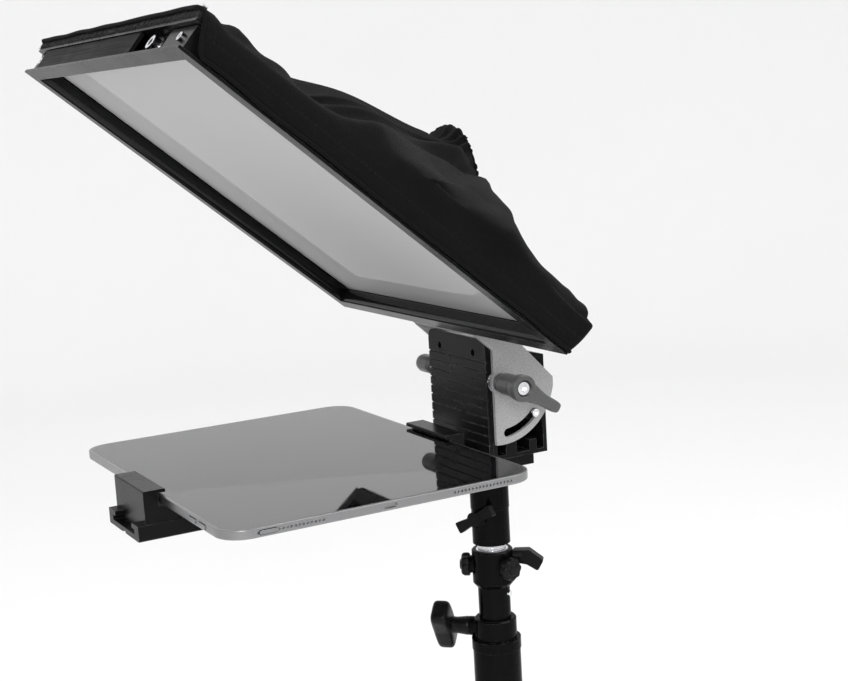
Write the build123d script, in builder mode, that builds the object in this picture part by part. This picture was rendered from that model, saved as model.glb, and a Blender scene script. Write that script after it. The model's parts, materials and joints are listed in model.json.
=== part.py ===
from build123d import *
import math
import os

# Teleprompter: a tilted beam-splitter glass in a channel frame with a cloth hood, above a tablet
# that two clamps hold on a rail, on a height-adjustable stand with three swinging legs.
# Origin on the floor at the centre of the footprint. -Y faces the speaker, +Y the camera, +Z is up.

os.makedirs("parts", exist_ok=True)

# ---- driving dimensions, mm ----
FOOT_RADIUS = 380.0          # column axis to each foot
COLUMN_Y = FOOT_RADIUS / 4   # puts the origin at the centre of the three feet's box
LEG_OD = 25.0
LEG_WALL = 1.5
COLUMN_OD = 36.0
COLUMN_WALL = 1.6
RISER_OD = 24.0
RISER_WALL = 1.6
SPIGOT_OD = 16.0
FIT = 0.05                   # radial running clearance of a shaft in its hole

TABLET_TOP_Z = 900.0         # screen surface above the floor
TABLET_WIDTH = 280.6
TABLET_DEPTH = 214.9
TABLET_THICKNESS = 6.0
TABLET_CORNER = 18.0
TABLET_FRONT_Y = COLUMN_Y - 262.0
TABLET_BACK_Y = TABLET_FRONT_Y + TABLET_DEPTH

RAIL_WIDTH = 60.0
RAIL_HEIGHT = 10.4
RAIL_TOP_Z = TABLET_TOP_Z - 18.0
RAIL_BOTTOM_Z = RAIL_TOP_Z - RAIL_HEIGHT
RAIL_FRONT_Y = TABLET_FRONT_Y - 16.6
RAIL_LENGTH = 300.0

BLOCK_WIDTH = 80.0
BLOCK_FRONT_Y = TABLET_FRONT_Y + 240.0
BLOCK_BACK_Y = TABLET_FRONT_Y + 289.0
BLOCK_TOP_Z = TABLET_TOP_Z + 70.0
BLOCK_REAR_TOP_Z = TABLET_TOP_Z + 53.5
FRONT_PLATE = 3.4

PIVOT_Y = TABLET_FRONT_Y + 249.0
PIVOT_Z = TABLET_TOP_Z + 39.0
SLOT_RADIUS = 37.5           # stop screw to pivot
STOP_ANGLE = -43.5           # stop screw's direction from the pivot, from +Y towards +Z
TILT_TRAVEL = 39.5           # folds the glass down until it is level
YOKE_INNER_X = 41.0
YOKE_THICKNESS = 3.0

FRAME_TILT = 39.5            # glass above the horizontal
FRAME_HALF_WIDTH = 157.5
FRAME_LENGTH = 311.0
FRAME_DEPTH = 20.0
FRAME_FACE = 10.0
FRAME_WALL = 2.0
GLASS_THICKNESS = 3.0
FRAME_BOTTOM_Y = TABLET_FRONT_Y + 229.0
FRAME_BOTTOM_Z = TABLET_TOP_Z + 75.7

LENS_AXIS_Z = TABLET_TOP_Z + 178.0
CUFF_RADIUS = 41.0
CUFF_Y = TABLET_FRONT_Y + 240.0
CLOTH = 4.0

TILT = math.radians(FRAME_TILT)
FRAME_UP = Vector(0, -math.cos(TILT), math.sin(TILT))
FRAME_BACK = Vector(0, math.sin(TILT), math.cos(TILT))
FRAME_BOTTOM = Vector(0, FRAME_BOTTOM_Y, FRAME_BOTTOM_Z)
HALF_LENGTH = FRAME_LENGTH / 2
FRAME_CENTRE = FRAME_BOTTOM + FRAME_UP * HALF_LENGTH


def frame_plane(depth=0.0):
    """Plane of the mirror frame: x across, y up the slope, depth behind the front face."""
    return Plane(origin=FRAME_CENTRE + FRAME_BACK * depth, x_dir=(1, 0, 0), z_dir=FRAME_BACK * -1)


def side_plane(x):
    """Vertical plane across X: local x is +Y, local y is +Z, extrusion goes to +X."""
    return Plane(origin=(x, 0, 0), x_dir=(0, 1, 0), z_dir=(1, 0, 0))


def cross_plane(y):
    """Vertical plane across Y: local x is +X, local y is +Z, extrusion goes to -Y."""
    return Plane(origin=(0, y, 0), x_dir=(1, 0, 0), z_dir=(0, -1, 0))


def column_plane(z):
    """Level plane centred on the column."""
    return Plane(origin=(0, COLUMN_Y, z), x_dir=(1, 0, 0), z_dir=(0, 0, 1))


def radial_plane(angle, z, distance, twist=0.0):
    """Plane facing away from the column at an angle from +X; local y is up, turned by twist."""
    a = math.radians(angle)
    out = Vector(math.cos(a), math.sin(a), 0)
    centre = Vector(0, COLUMN_Y, z) + out * distance
    across = Vector(-math.sin(a), math.cos(a), 0)
    t = math.radians(twist)
    x_dir = across * math.cos(t) + Vector(0, 0, 1) * math.sin(t)
    return Plane(origin=centre, x_dir=x_dir, z_dir=out)


def finish(part, name):
    """Label a finished piece and write it."""
    part.label = name
    export_step(part, f"parts/{name}.step")


def ring(name, z_low, z_high, outer, bore, bevel=0.0):
    """Plain collar around the column axis."""
    with BuildPart() as collar:
        with BuildSketch(column_plane(z_low)):
            Circle(outer)
            Circle(bore, mode=Mode.SUBTRACT)
        extrude(amount=z_high - z_low)
        if bevel:
            rims = collar.edges().filter_by(GeomType.CIRCLE).sort_by(SortBy.RADIUS)[-2:]
            chamfer(rims, bevel)
    finish(collar.part, name)


# ---- stand: legs, column and riser ----
LEG_ANGLES = {"front": -90.0, "right": 30.0, "left": 150.0}
LEG_HUB_Z = {"front": 120.0, "right": 148.0, "left": 176.0}
HUB_HEIGHT = 27.4
HUB_RADIUS = 25.0
LEG_BEND = 75.0
FOOT_HEIGHT = 24.0
FOOT_SOLE = 8.0


def leg(side):
    """Hub ring on the column with a tube that runs out level and bends down to the foot."""
    a = math.radians(LEG_ANGLES[side])
    hub_z = LEG_HUB_Z[side]
    plane = Plane(
        origin=(0, COLUMN_Y, 0),
        x_dir=(math.cos(a), math.sin(a), 0),
        z_dir=(math.sin(a), -math.cos(a), 0),
    )
    with BuildPart() as tube:
        with BuildLine(plane) as route:
            FilletPolyline(
                (COLUMN_OD / 2 + 4, hub_z),
                (FOOT_RADIUS, hub_z),
                (FOOT_RADIUS, FOOT_SOLE),
                radius=LEG_BEND,
            )
        with BuildSketch(Plane(origin=route.line @ 0, z_dir=route.line % 0)):
            Circle(LEG_OD / 2)
            Circle(LEG_OD / 2 - LEG_WALL, mode=Mode.SUBTRACT)
        sweep()
        with BuildSketch(column_plane(hub_z - HUB_HEIGHT / 2)):
            Circle(HUB_RADIUS)
            Circle(COLUMN_OD / 2 + FIT, mode=Mode.SUBTRACT)
        extrude(amount=HUB_HEIGHT)
        with BuildSketch(column_plane(hub_z - HUB_HEIGHT / 2)):
            Circle(COLUMN_OD / 2 + FIT)
        extrude(amount=HUB_HEIGHT, mode=Mode.SUBTRACT)
    finish(tube.part, f"leg_{side}")
    foot_x = FOOT_RADIUS * math.cos(a)
    foot_y = COLUMN_Y + FOOT_RADIUS * math.sin(a)
    with BuildPart() as foot:
        with BuildSketch(Plane(origin=(foot_x, foot_y, 0), z_dir=(0, 0, 1))):
            Circle(LEG_OD / 2 + 3.5)
        extrude(amount=FOOT_HEIGHT)
        with BuildSketch(Plane(origin=(foot_x, foot_y, FOOT_SOLE), z_dir=(0, 0, 1))):
            Circle(LEG_OD / 2 + FIT)
        extrude(amount=FOOT_HEIGHT, mode=Mode.SUBTRACT)
        fillet(foot.edges().filter_by(GeomType.CIRCLE).group_by(Axis.Z)[0], 2.0)
    finish(foot.part, f"foot_{side}")


for leg_side in LEG_ANGLES:
    leg(leg_side)

COLLAR_Z = TABLET_TOP_Z - 173.0      # top of the main tube
COLLAR_STEP_Z = TABLET_TOP_Z - 165.0
COLLAR_TOP_Z = TABLET_TOP_Z - 149.0
COLUMN_FOOT_Z = 96.0
RISER_TOP_Z = TABLET_TOP_Z - 96.0
RISER_LENGTH = 560.0
SPIGOT_SHOULDER_Z = TABLET_TOP_Z - 91.0
SPIGOT_TOP_Z = TABLET_TOP_Z - 36.0
T_KNOB_Z = TABLET_TOP_Z - 157.5
T_KNOB_ANGLE = 225.0
T_KNOB_TWIST = -35.0
STUD_RADIUS = 4.0

with BuildPart() as column:
    with BuildSketch(column_plane(COLUMN_FOOT_Z)):
        Circle(COLUMN_OD / 2)
        Circle(COLUMN_OD / 2 - COLUMN_WALL, mode=Mode.SUBTRACT)
    extrude(amount=COLLAR_Z - COLUMN_FOOT_Z)
finish(column.part, "column_tube")

with BuildPart() as lock_collar:
    with BuildSketch(column_plane(COLLAR_Z)):
        Circle(COLUMN_OD / 2 + 0.6)
    extrude(amount=COLLAR_STEP_Z - COLLAR_Z)
    with BuildSketch(column_plane(COLLAR_STEP_Z)):
        Circle(15.8)
    extrude(amount=COLLAR_TOP_Z - COLLAR_STEP_Z)
    rim = lock_collar.edges().filter_by(GeomType.CIRCLE).group_by(Axis.Z)[-1]
    chamfer(rim, 1.0)
    with BuildSketch(radial_plane(T_KNOB_ANGLE, T_KNOB_Z, 12.6)):
        Circle(7.2)
    extrude(amount=7.4)
    with BuildSketch(column_plane(COLLAR_Z)):
        Circle(RISER_OD / 2 + FIT)
    extrude(amount=COLLAR_TOP_Z - COLLAR_Z, mode=Mode.SUBTRACT)
    with BuildSketch(radial_plane(T_KNOB_ANGLE, T_KNOB_Z, 5.0)):
        Circle(STUD_RADIUS + FIT)
    extrude(amount=30.0, mode=Mode.SUBTRACT)
finish(lock_collar.part, "lock_collar")

HUB_STACK_TOP = LEG_HUB_Z["left"] + HUB_HEIGHT / 2 + 0.3
ring("hub_stop_ring", HUB_STACK_TOP, HUB_STACK_TOP + 12.0, HUB_RADIUS - 2.0, COLUMN_OD / 2 + FIT, 1.5)

# T-handle that locks the riser
with BuildPart() as t_knob:
    with BuildSketch(radial_plane(T_KNOB_ANGLE, T_KNOB_Z, 12.6)):
        Circle(STUD_RADIUS)
    extrude(amount=9.0)
    with BuildSketch(radial_plane(T_KNOB_ANGLE, T_KNOB_Z, 20.3)) as stem_root:
        Circle(7.0)
    with BuildSketch(radial_plane(T_KNOB_ANGLE, T_KNOB_Z, 36.0)) as stem_tip:
        Circle(5.6)
    loft(sections=[stem_root.sketch, stem_tip.sketch])
    with BuildSketch(radial_plane(T_KNOB_ANGLE, T_KNOB_Z, 33.0, T_KNOB_TWIST)):
        with BuildLine():
            Polyline(
                (-6.5, 0), (-9, 20), (9, 20), (6.5, 0), (9, -20), (-9, -20), close=True
            )
        outline = make_face()
        fillet(outline.vertices(), 2.4)
    extrude(amount=15.0)
finish(t_knob.part, "t_handle")

with BuildPart() as riser:
    with BuildSketch(column_plane(RISER_TOP_Z - RISER_LENGTH)):
        Circle(RISER_OD / 2)
        Circle(RISER_OD / 2 - RISER_WALL, mode=Mode.SUBTRACT)
    extrude(amount=RISER_LENGTH)
finish(riser.part, "riser_tube")

# bush on the riser's lower end, sliding in the column tube
BUSH_LOW_Z = RISER_TOP_Z - RISER_LENGTH
ring(
    "riser_bush",
    BUSH_LOW_Z,
    BUSH_LOW_Z + 24.0,
    COLUMN_OD / 2 - COLUMN_WALL - FIT,
    RISER_OD / 2 + FIT,
)

RISER_COLLAR_LOW = TABLET_TOP_Z - 124.0
RISER_COLLAR_TOP = TABLET_TOP_Z - 95.6
COLLAR_KNOB_Z = TABLET_TOP_Z - 108.0
COLLAR_KNOB_ANGLES = {"a": 10.0, "b": 233.0}
COLLAR_RADIUS = 15.4
LEVER_ANGLE = 52.0

with BuildPart() as riser_collar:
    with BuildSketch(column_plane(RISER_COLLAR_LOW)) as low_ring:
        Circle(COLLAR_RADIUS - 2.4)
    with BuildSketch(column_plane(RISER_COLLAR_LOW + 3.0)) as full_ring:
        Circle(COLLAR_RADIUS)
    loft(sections=[low_ring.sketch, full_ring.sketch])
    with BuildSketch(column_plane(RISER_COLLAR_LOW + 3.0)):
        Circle(COLLAR_RADIUS)
    extrude(amount=RISER_COLLAR_TOP - RISER_COLLAR_LOW - 3.0)
    for knob_angle in COLLAR_KNOB_ANGLES.values():
        with BuildSketch(radial_plane(knob_angle, COLLAR_KNOB_Z, 12.3)):
            Circle(STUD_RADIUS + 2.6)
        extrude(amount=4.4)
    top_rim = riser_collar.edges().filter_by(GeomType.CIRCLE).group_by(Axis.Z)[-1]
    chamfer(top_rim, 0.8)
    with BuildSketch(column_plane(RISER_COLLAR_LOW)):
        Circle(RISER_OD / 2 + FIT)
    extrude(amount=RISER_COLLAR_TOP - RISER_COLLAR_LOW, mode=Mode.SUBTRACT)
    for knob_angle in COLLAR_KNOB_ANGLES.values():
        with BuildSketch(radial_plane(knob_angle, COLLAR_KNOB_Z, 12.1)):
            Circle(STUD_RADIUS + FIT)
        extrude(amount=12.0, mode=Mode.SUBTRACT)
finish(riser_collar.part, "riser_collar")


def collar_knob(key, angle):
    """Round hand knob on a short stud in the riser collar."""
    with BuildPart() as knob:
        with BuildSketch(radial_plane(angle, COLLAR_KNOB_Z, 12.4)):
            Circle(STUD_RADIUS)
        extrude(amount=6.0)
        with BuildSketch(radial_plane(angle, COLLAR_KNOB_Z, 17.0)):
            Circle(9.0)
        extrude(amount=6.0)
        dome = knob.faces().sort_by(lambda f: (f.center() - Vector(0, COLUMN_Y, COLLAR_KNOB_Z)).length)[-1]
        fillet(dome.edges(), 2.2)
        with BuildSketch(radial_plane(angle, COLLAR_KNOB_Z, 22.9)):
            Circle(3.2)
        extrude(amount=1.6)
    finish(knob.part, f"collar_knob_{key}")


for knob_key, knob_angle in COLLAR_KNOB_ANGLES.items():
    collar_knob(knob_key, knob_angle)

# bent lever that clamps the spigot, on its own screw in the collar's top edge
LEVER_Z = RISER_COLLAR_TOP - 6.0
lever_a = math.radians(LEVER_ANGLE)
LEVER_PLANE = Plane(
    origin=(0, COLUMN_Y, 0),
    x_dir=(math.cos(lever_a), math.sin(lever_a), 0),
    z_dir=(math.sin(lever_a), -math.cos(lever_a), 0),
)
with BuildPart() as spigot_lever:
    with BuildSketch(LEVER_PLANE):
        with BuildLine():
            Polyline(
                (COLLAR_RADIUS + 0.3, LEVER_Z - 4),
                (COLLAR_RADIUS + 0.3, LEVER_Z + 5),
                (28, LEVER_Z + 5.2),
                (38.5, LEVER_Z - 3),
                (34, LEVER_Z - 11),
                (26, LEVER_Z - 6),
                close=True,
            )
        make_face()
    extrude(amount=4.0, both=True)
    fillet(spigot_lever.edges().filter_by(lambda e: abs(e.length - 8.0) < 0.01), 1.6)
    with BuildSketch(radial_plane(LEVER_ANGLE, LEVER_Z, COLLAR_RADIUS + 0.3)):
        Circle(5.2)
    extrude(amount=7.0)
finish(spigot_lever.part, "spigot_lever")

with BuildPart() as riser_screw:
    with BuildSketch(radial_plane(30.0, RISER_COLLAR_LOW - 5.5, RISER_OD / 2)):
        Circle(2.2)
    extrude(amount=2.0)
finish(riser_screw.part, "riser_screw")

with BuildPart() as spigot:
    with BuildSketch(column_plane(RISER_COLLAR_TOP)):
        Circle(9.6)
    extrude(amount=SPIGOT_SHOULDER_Z - RISER_COLLAR_TOP)
    with BuildSketch(column_plane(SPIGOT_SHOULDER_Z)):
        Circle(SPIGOT_OD / 2)
    extrude(amount=SPIGOT_TOP_Z - SPIGOT_SHOULDER_Z)
    chamfer(spigot.edges().filter_by(GeomType.CIRCLE).group_by(Axis.Z)[-1], 1.0)
    with BuildSketch(column_plane(RISER_TOP_Z)):
        Circle(RISER_OD / 2)
    extrude(amount=RISER_COLLAR_TOP - RISER_TOP_Z)
finish(spigot.part, "spigot")

# ---- head: socket, rail and bracket block ----
SOCKET_LOW_Z = TABLET_TOP_Z - 90.6
SOCKET_RADIUS = 14.5
SOCKET_FLANGE = 22.0
WING_ANGLE = -65.0
WING_TWIST = 30.0
WING_Z = TABLET_TOP_Z - 68.0

with BuildPart() as socket:
    with BuildSketch(column_plane(SOCKET_LOW_Z)):
        Circle(SOCKET_RADIUS - 0.4)
    extrude(amount=27.0)
    with BuildSketch(column_plane(SOCKET_LOW_Z + 27.0)):
        Circle(SOCKET_RADIUS)
    extrude(amount=RAIL_BOTTOM_Z - SOCKET_LOW_Z - 27.0)
    with BuildSketch(column_plane(RAIL_BOTTOM_Z - 4.0)):
        Circle(SOCKET_FLANGE)
    extrude(amount=4.0)
    with BuildSketch(radial_plane(WING_ANGLE, WING_Z, 8.6)):
        Circle(6.0)
    extrude(amount=7.6)
    with BuildSketch(column_plane(SOCKET_LOW_Z)):
        Circle(SPIGOT_OD / 2 + FIT)
    extrude(amount=SPIGOT_TOP_Z + 0.6 - SOCKET_LOW_Z, mode=Mode.SUBTRACT)
    with BuildSketch(radial_plane(WING_ANGLE, WING_Z, 4.0)):
        Circle(STUD_RADIUS + FIT)
    extrude(amount=20.0, mode=Mode.SUBTRACT)
finish(socket.part, "socket_tube")

FLANGE_SCREW_RING = 17.6
with BuildPart() as flange_screws:
    with BuildSketch(column_plane(RAIL_BOTTOM_Z - 4.0)):
        with PolarLocations(FLANGE_SCREW_RING, 4, start_angle=45.0):
            Circle(2.4)
    extrude(amount=-2.2)
finish(flange_screws.part, "flange_screws")

with BuildPart() as wing_bolt:
    with BuildSketch(radial_plane(WING_ANGLE, WING_Z, 8.8)):
        Circle(STUD_RADIUS)
    extrude(amount=11.0)
    with BuildSketch(radial_plane(WING_ANGLE, WING_Z, 16.6)):
        Circle(5.6)
    extrude(amount=6.0)
    with BuildSketch(radial_plane(WING_ANGLE, WING_Z, 17.2, WING_TWIST)):
        with BuildLine():
            Polyline((-4, -3), (-17, -4.5), (-17, 4.5), (-4, 3), close=True)
        make_face()
        mirror(about=Plane.YZ)
        Rectangle(8.4, 6)
    extrude(amount=5.0)
    fillet(wing_bolt.edges().filter_by(lambda e: abs(e.length - 5.0) < 0.01), 1.4)
finish(wing_bolt.part, "wing_bolt")

SLOT_MOUTH = 34.0
SLOT_WIDTH = 44.0
SLOT_LIP = 3.2
RAIL_FLOOR = 3.6
with BuildPart() as rail:
    with BuildSketch(cross_plane(RAIL_FRONT_Y + RAIL_LENGTH)):
        with Locations((0, RAIL_BOTTOM_Z + RAIL_HEIGHT / 2)):
            Rectangle(RAIL_WIDTH, RAIL_HEIGHT)
        with Locations((0, RAIL_TOP_Z)):
            Rectangle(SLOT_MOUTH, 2 * SLOT_LIP, mode=Mode.SUBTRACT)
        slot_centre = (RAIL_BOTTOM_Z + RAIL_FLOOR + RAIL_TOP_Z - SLOT_LIP) / 2
        with Locations((0, slot_centre)):
            Rectangle(SLOT_WIDTH, RAIL_HEIGHT - RAIL_FLOOR - SLOT_LIP, mode=Mode.SUBTRACT)
        with Locations((0, RAIL_BOTTOM_Z)):
            Rectangle(5, 2.4, mode=Mode.SUBTRACT)
    extrude(amount=RAIL_LENGTH)
    chamfer(rail.edges().filter_by(Axis.Y).group_by(Axis.Z)[0], 0.6)
finish(rail.part, "rail")

# T-shaped slot nut under the block, held by two screws from below the rail
with BuildPart() as slot_nut:
    with BuildSketch(Plane(origin=(0, BLOCK_FRONT_Y + 24, RAIL_BOTTOM_Z + RAIL_FLOOR), z_dir=(0, 0, 1))):
        Rectangle(SLOT_WIDTH - 0.6, 40)
    extrude(amount=RAIL_HEIGHT - RAIL_FLOOR - SLOT_LIP)
    with BuildSketch(Plane(origin=(0, BLOCK_FRONT_Y + 24, RAIL_TOP_Z - SLOT_LIP), z_dir=(0, 0, 1))):
        Rectangle(SLOT_MOUTH - 0.6, 40)
    extrude(amount=SLOT_LIP)
finish(slot_nut.part, "slot_nut")

BLOCK_WALL = 3.0
BLOCK_SHELL_Y = BLOCK_FRONT_Y + FRONT_PLATE
with BuildPart() as block:
    with BuildSketch(side_plane(-BLOCK_WIDTH / 2 + 0.1)) as section:
        with BuildLine():
            Polyline(
                (BLOCK_SHELL_Y, RAIL_TOP_Z),
                (BLOCK_BACK_Y, RAIL_TOP_Z),
                (BLOCK_BACK_Y, BLOCK_REAR_TOP_Z),
                (BLOCK_SHELL_Y, BLOCK_TOP_Z - 4),
                close=True,
            )
        make_face()
        with BuildLine():
            Polyline(
                (BLOCK_SHELL_Y + BLOCK_WALL, RAIL_TOP_Z + BLOCK_WALL),
                (BLOCK_BACK_Y - BLOCK_WALL, RAIL_TOP_Z + BLOCK_WALL),
                (BLOCK_BACK_Y - BLOCK_WALL, BLOCK_REAR_TOP_Z - 2.4),
                (BLOCK_SHELL_Y + BLOCK_WALL, BLOCK_TOP_Z - 8),
                close=True,
            )
        make_face(mode=Mode.SUBTRACT)
        for tooth_y, tooth_width in ((18.5, 9.0), (37.0, 6.0)):
            with Locations((BLOCK_FRONT_Y + tooth_y, RAIL_TOP_Z + 6)):
                Rectangle(tooth_width, 9.6)
        with Locations((PIVOT_Y, PIVOT_Z)):
            Circle(PIVOT_Y - BLOCK_SHELL_Y)
        with Locations((BLOCK_BACK_Y - 5, BLOCK_REAR_TOP_Z - 6)):
            Circle(5.0)
        stop_y = PIVOT_Y + SLOT_RADIUS * math.cos(math.radians(STOP_ANGLE))
        stop_z = PIVOT_Z + SLOT_RADIUS * math.sin(math.radians(STOP_ANGLE))
        with Locations((stop_y, stop_z)):
            Circle(5.5)
        with Locations(((stop_y + BLOCK_BACK_Y - 1) / 2, stop_z)):
            Rectangle(BLOCK_BACK_Y - 1 - stop_y, 3)
        with Locations((PIVOT_Y, PIVOT_Z)):
            Circle(STUD_RADIUS + FIT, mode=Mode.SUBTRACT)
        with Locations((BLOCK_BACK_Y - 5, BLOCK_REAR_TOP_Z - 6)):
            Circle(2.6, mode=Mode.SUBTRACT)
        with Locations((stop_y, stop_z)):
            Circle(2.5 + FIT, mode=Mode.SUBTRACT)
    extrude(amount=BLOCK_WIDTH - 0.2)
finish(block.part, "bracket_block")

GROOVE_PITCH = 6.6
GROOVE_COUNT = 11
PLATE_HOLE_R = 2.6
PLATE_HOLES_X = (-23.5, 23.5)
PLATE_HOLE_Z = TABLET_TOP_Z + 58.8
with BuildPart() as front_plate:
    plate_height = BLOCK_TOP_Z - RAIL_TOP_Z
    with BuildSketch(cross_plane(BLOCK_SHELL_Y)):
        with Locations((0, RAIL_TOP_Z + plate_height / 2)):
            Rectangle(BLOCK_WIDTH, plate_height)
    extrude(amount=FRONT_PLATE)
    corners = front_plate.edges().filter_by(Axis.Y).group_by(Axis.Z)[-1]
    fillet(corners, 7.0)
    with BuildSketch(cross_plane(BLOCK_FRONT_Y + 1.0)):
        for groove in range(GROOVE_COUNT):
            with Locations((0, PLATE_HOLE_Z - 5.5 - groove * GROOVE_PITCH)):
                Rectangle(BLOCK_WIDTH + 2, 1.1)
    extrude(amount=2.0, mode=Mode.SUBTRACT)
    with BuildSketch(cross_plane(BLOCK_SHELL_Y + 1)):
        for hole_x in PLATE_HOLES_X:
            with Locations((hole_x, PLATE_HOLE_Z)):
                Circle(PLATE_HOLE_R)
    extrude(amount=FRONT_PLATE + 2, mode=Mode.SUBTRACT)
finish(front_plate.part, "finned_plate")

# ---- tablet clamps ----
CLAMP_WIDTH = 58.0
CLAMP_TOP_Z = TABLET_TOP_Z + 3.7
CLAMP_BOTTOM_Z = RAIL_TOP_Z + 0.1
LIP_REACH = 3.8
PAD = 0.9
PAD_GROOVE = 0.5             # lets the tablet's side buttons pass


def clamp_outline(edge_y, outward):
    """C-shaped clamp section: lip over the tablet, ledge under it, solid back away from it."""
    back = edge_y + outward * 11.2
    inner = edge_y + outward * (PAD + 0.3)
    tip = edge_y - outward * LIP_REACH
    ledge = edge_y - outward * 14.0
    Polyline(
        (back, CLAMP_BOTTOM_Z),
        (back, CLAMP_TOP_Z),
        (tip, CLAMP_TOP_Z),
        (tip, CLAMP_TOP_Z - 2.3),
        (inner, CLAMP_TOP_Z - 2.3),
        (inner, TABLET_TOP_Z - TABLET_THICKNESS - 1.2),
        (ledge, TABLET_TOP_Z - TABLET_THICKNESS - 1.2),
        (ledge, CLAMP_BOTTOM_Z),
        close=True,
    )


def clamp(name, edge_y, outward, runner_length):
    """Tablet clamp, its slot runner and its soft pad."""
    with BuildPart() as jaw:
        with BuildSketch(side_plane(-CLAMP_WIDTH / 2)):
            with BuildLine():
                clamp_outline(edge_y, outward)
            make_face()
        extrude(amount=CLAMP_WIDTH)
        top_edges = jaw.edges().filter_by(Axis.X).group_by(Axis.Z)[-1]
        fillet(top_edges, 0.9)
        runner_y = edge_y + outward * (11.2 - runner_length / 2)
        neck_low = RAIL_TOP_Z - SLOT_LIP - 0.2
        with BuildSketch(Plane(origin=(0, runner_y, neck_low), z_dir=(0, 0, 1))):
            Rectangle(SLOT_MOUTH - 0.6, runner_length)
        extrude(amount=CLAMP_BOTTOM_Z - neck_low)
        with BuildSketch(Plane(origin=(0, runner_y, RAIL_BOTTOM_Z + RAIL_FLOOR + 0.2), z_dir=(0, 0, 1))):
            Rectangle(SLOT_WIDTH - 0.6, runner_length)
        extrude(amount=neck_low - RAIL_BOTTOM_Z - RAIL_FLOOR - 0.2)
    finish(jaw.part, f"{name}_clamp")
    with BuildPart() as pad:
        with BuildSketch(side_plane(-CLAMP_WIDTH / 2 + 1)):
            with Locations((edge_y + outward * (0.3 + PAD / 2), TABLET_TOP_Z - TABLET_THICKNESS / 2)):
                Rectangle(PAD, 6.6)
            with Locations((edge_y + outward * 0.3, TABLET_TOP_Z - TABLET_THICKNESS / 2)):
                Rectangle(2 * PAD_GROOVE, 3.6, mode=Mode.SUBTRACT)
            with Locations((edge_y - outward * 6.6, TABLET_TOP_Z - TABLET_THICKNESS - 0.75)):
                Rectangle(14.0, 0.9)
        extrude(amount=CLAMP_WIDTH - 2)
    finish(pad.part, f"{name}_clamp_pad")


clamp("front", TABLET_FRONT_Y, -1, 34.0)
clamp("rear", TABLET_BACK_Y, 1, 24.0)

# ---- tablet ----
TABLET_CENTRE_Y = TABLET_FRONT_Y + TABLET_DEPTH / 2
BEZEL = 2.2
GLASS_SKIN = 0.6
SPEAKER_HOLES = 17
SPEAKER_PITCH = 2.6
SPEAKER_OFFSETS = (-66.0, 66.0)
BUTTON_GAP = 0.35


def tablet_plane(z):
    """Level plane centred on the tablet."""
    return Plane(origin=(0, TABLET_CENTRE_Y, z), x_dir=(1, 0, 0), z_dir=(0, 0, 1))


edge_plane = side_plane(TABLET_WIDTH / 2 - 1.6)
TABLET_MID_Z = TABLET_TOP_Z - TABLET_THICKNESS / 2
POWER_Y = TABLET_FRONT_Y + 27.0
VOLUME_X = (103.0, 87.0)
with BuildPart() as tablet:
    with BuildSketch(tablet_plane(TABLET_TOP_Z - TABLET_THICKNESS)):
        RectangleRounded(TABLET_WIDTH, TABLET_DEPTH, TABLET_CORNER)
    extrude(amount=TABLET_THICKNESS)
    fillet(tablet.edges().group_by(Axis.Z)[0], 1.0)
    fillet(tablet.edges().group_by(Axis.Z)[-1], 0.6)
    with BuildSketch(tablet_plane(TABLET_TOP_Z - GLASS_SKIN)):
        RectangleRounded(TABLET_WIDTH - 2 * BEZEL, TABLET_DEPTH - 2 * BEZEL, TABLET_CORNER - BEZEL)
    extrude(amount=GLASS_SKIN, mode=Mode.SUBTRACT)
    with BuildSketch(edge_plane):
        for offset_y in SPEAKER_OFFSETS:
            with Locations((TABLET_CENTRE_Y + offset_y, TABLET_MID_Z)):
                with GridLocations(SPEAKER_PITCH, 1, SPEAKER_HOLES, 1):
                    Circle(0.75)
        with Locations((TABLET_CENTRE_Y, TABLET_MID_Z)):
            SlotOverall(9.0, 3.0)
        with Locations((POWER_Y, TABLET_MID_Z)):
            SlotOverall(12.0 + 2 * BUTTON_GAP, 2.4 + 2 * BUTTON_GAP)
    extrude(amount=4.0, mode=Mode.SUBTRACT)
    with BuildSketch(cross_plane(TABLET_FRONT_Y + 1.6)):
        for volume_x in VOLUME_X:
            with Locations((volume_x, TABLET_MID_Z)):
                SlotOverall(12.0 + 2 * BUTTON_GAP, 2.4 + 2 * BUTTON_GAP)
    extrude(amount=4.0, mode=Mode.SUBTRACT)
finish(tablet.part, "tablet_case")

with BuildPart() as screen:
    with BuildSketch(tablet_plane(TABLET_TOP_Z - GLASS_SKIN)):
        RectangleRounded(
            TABLET_WIDTH - 2 * BEZEL - 0.1,
            TABLET_DEPTH - 2 * BEZEL - 0.1,
            TABLET_CORNER - BEZEL - 0.05,
        )
    extrude(amount=GLASS_SKIN)
finish(screen.part, "tablet_screen")

BUTTON_TRAVEL = 0.5
with BuildPart() as power_button:
    with BuildSketch(side_plane(TABLET_WIDTH / 2 - 1.6 + BUTTON_TRAVEL + 0.05)):
        with Locations((POWER_Y, TABLET_MID_Z)):
            SlotOverall(12.0, 2.4)
    extrude(amount=1.6)
finish(power_button.part, "power_button")

for volume_name, volume_x in zip(("volume_up_button", "volume_down_button"), VOLUME_X):
    with BuildPart() as volume_button:
        with BuildSketch(cross_plane(TABLET_FRONT_Y + 1.6 - BUTTON_TRAVEL - 0.05)):
            with Locations((volume_x, TABLET_MID_Z)):
                SlotOverall(12.0, 2.4)
        extrude(amount=1.6)
    finish(volume_button.part, volume_name)

# ---- yoke: pivot, stop and tilt lock ----
PIVOT_TO_FRONT = 5.0         # pivot back from the plates' front edge
FRONT_EDGE_TOP = 23.2        # where the front edge turns to follow the glass
PLATE_RADIUS = 45.3
yoke_top_front = FRAME_BOTTOM + FRAME_UP * -3.2
yoke_top_back = yoke_top_front + FRAME_BACK * (FRAME_DEPTH - 0.5)


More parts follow.
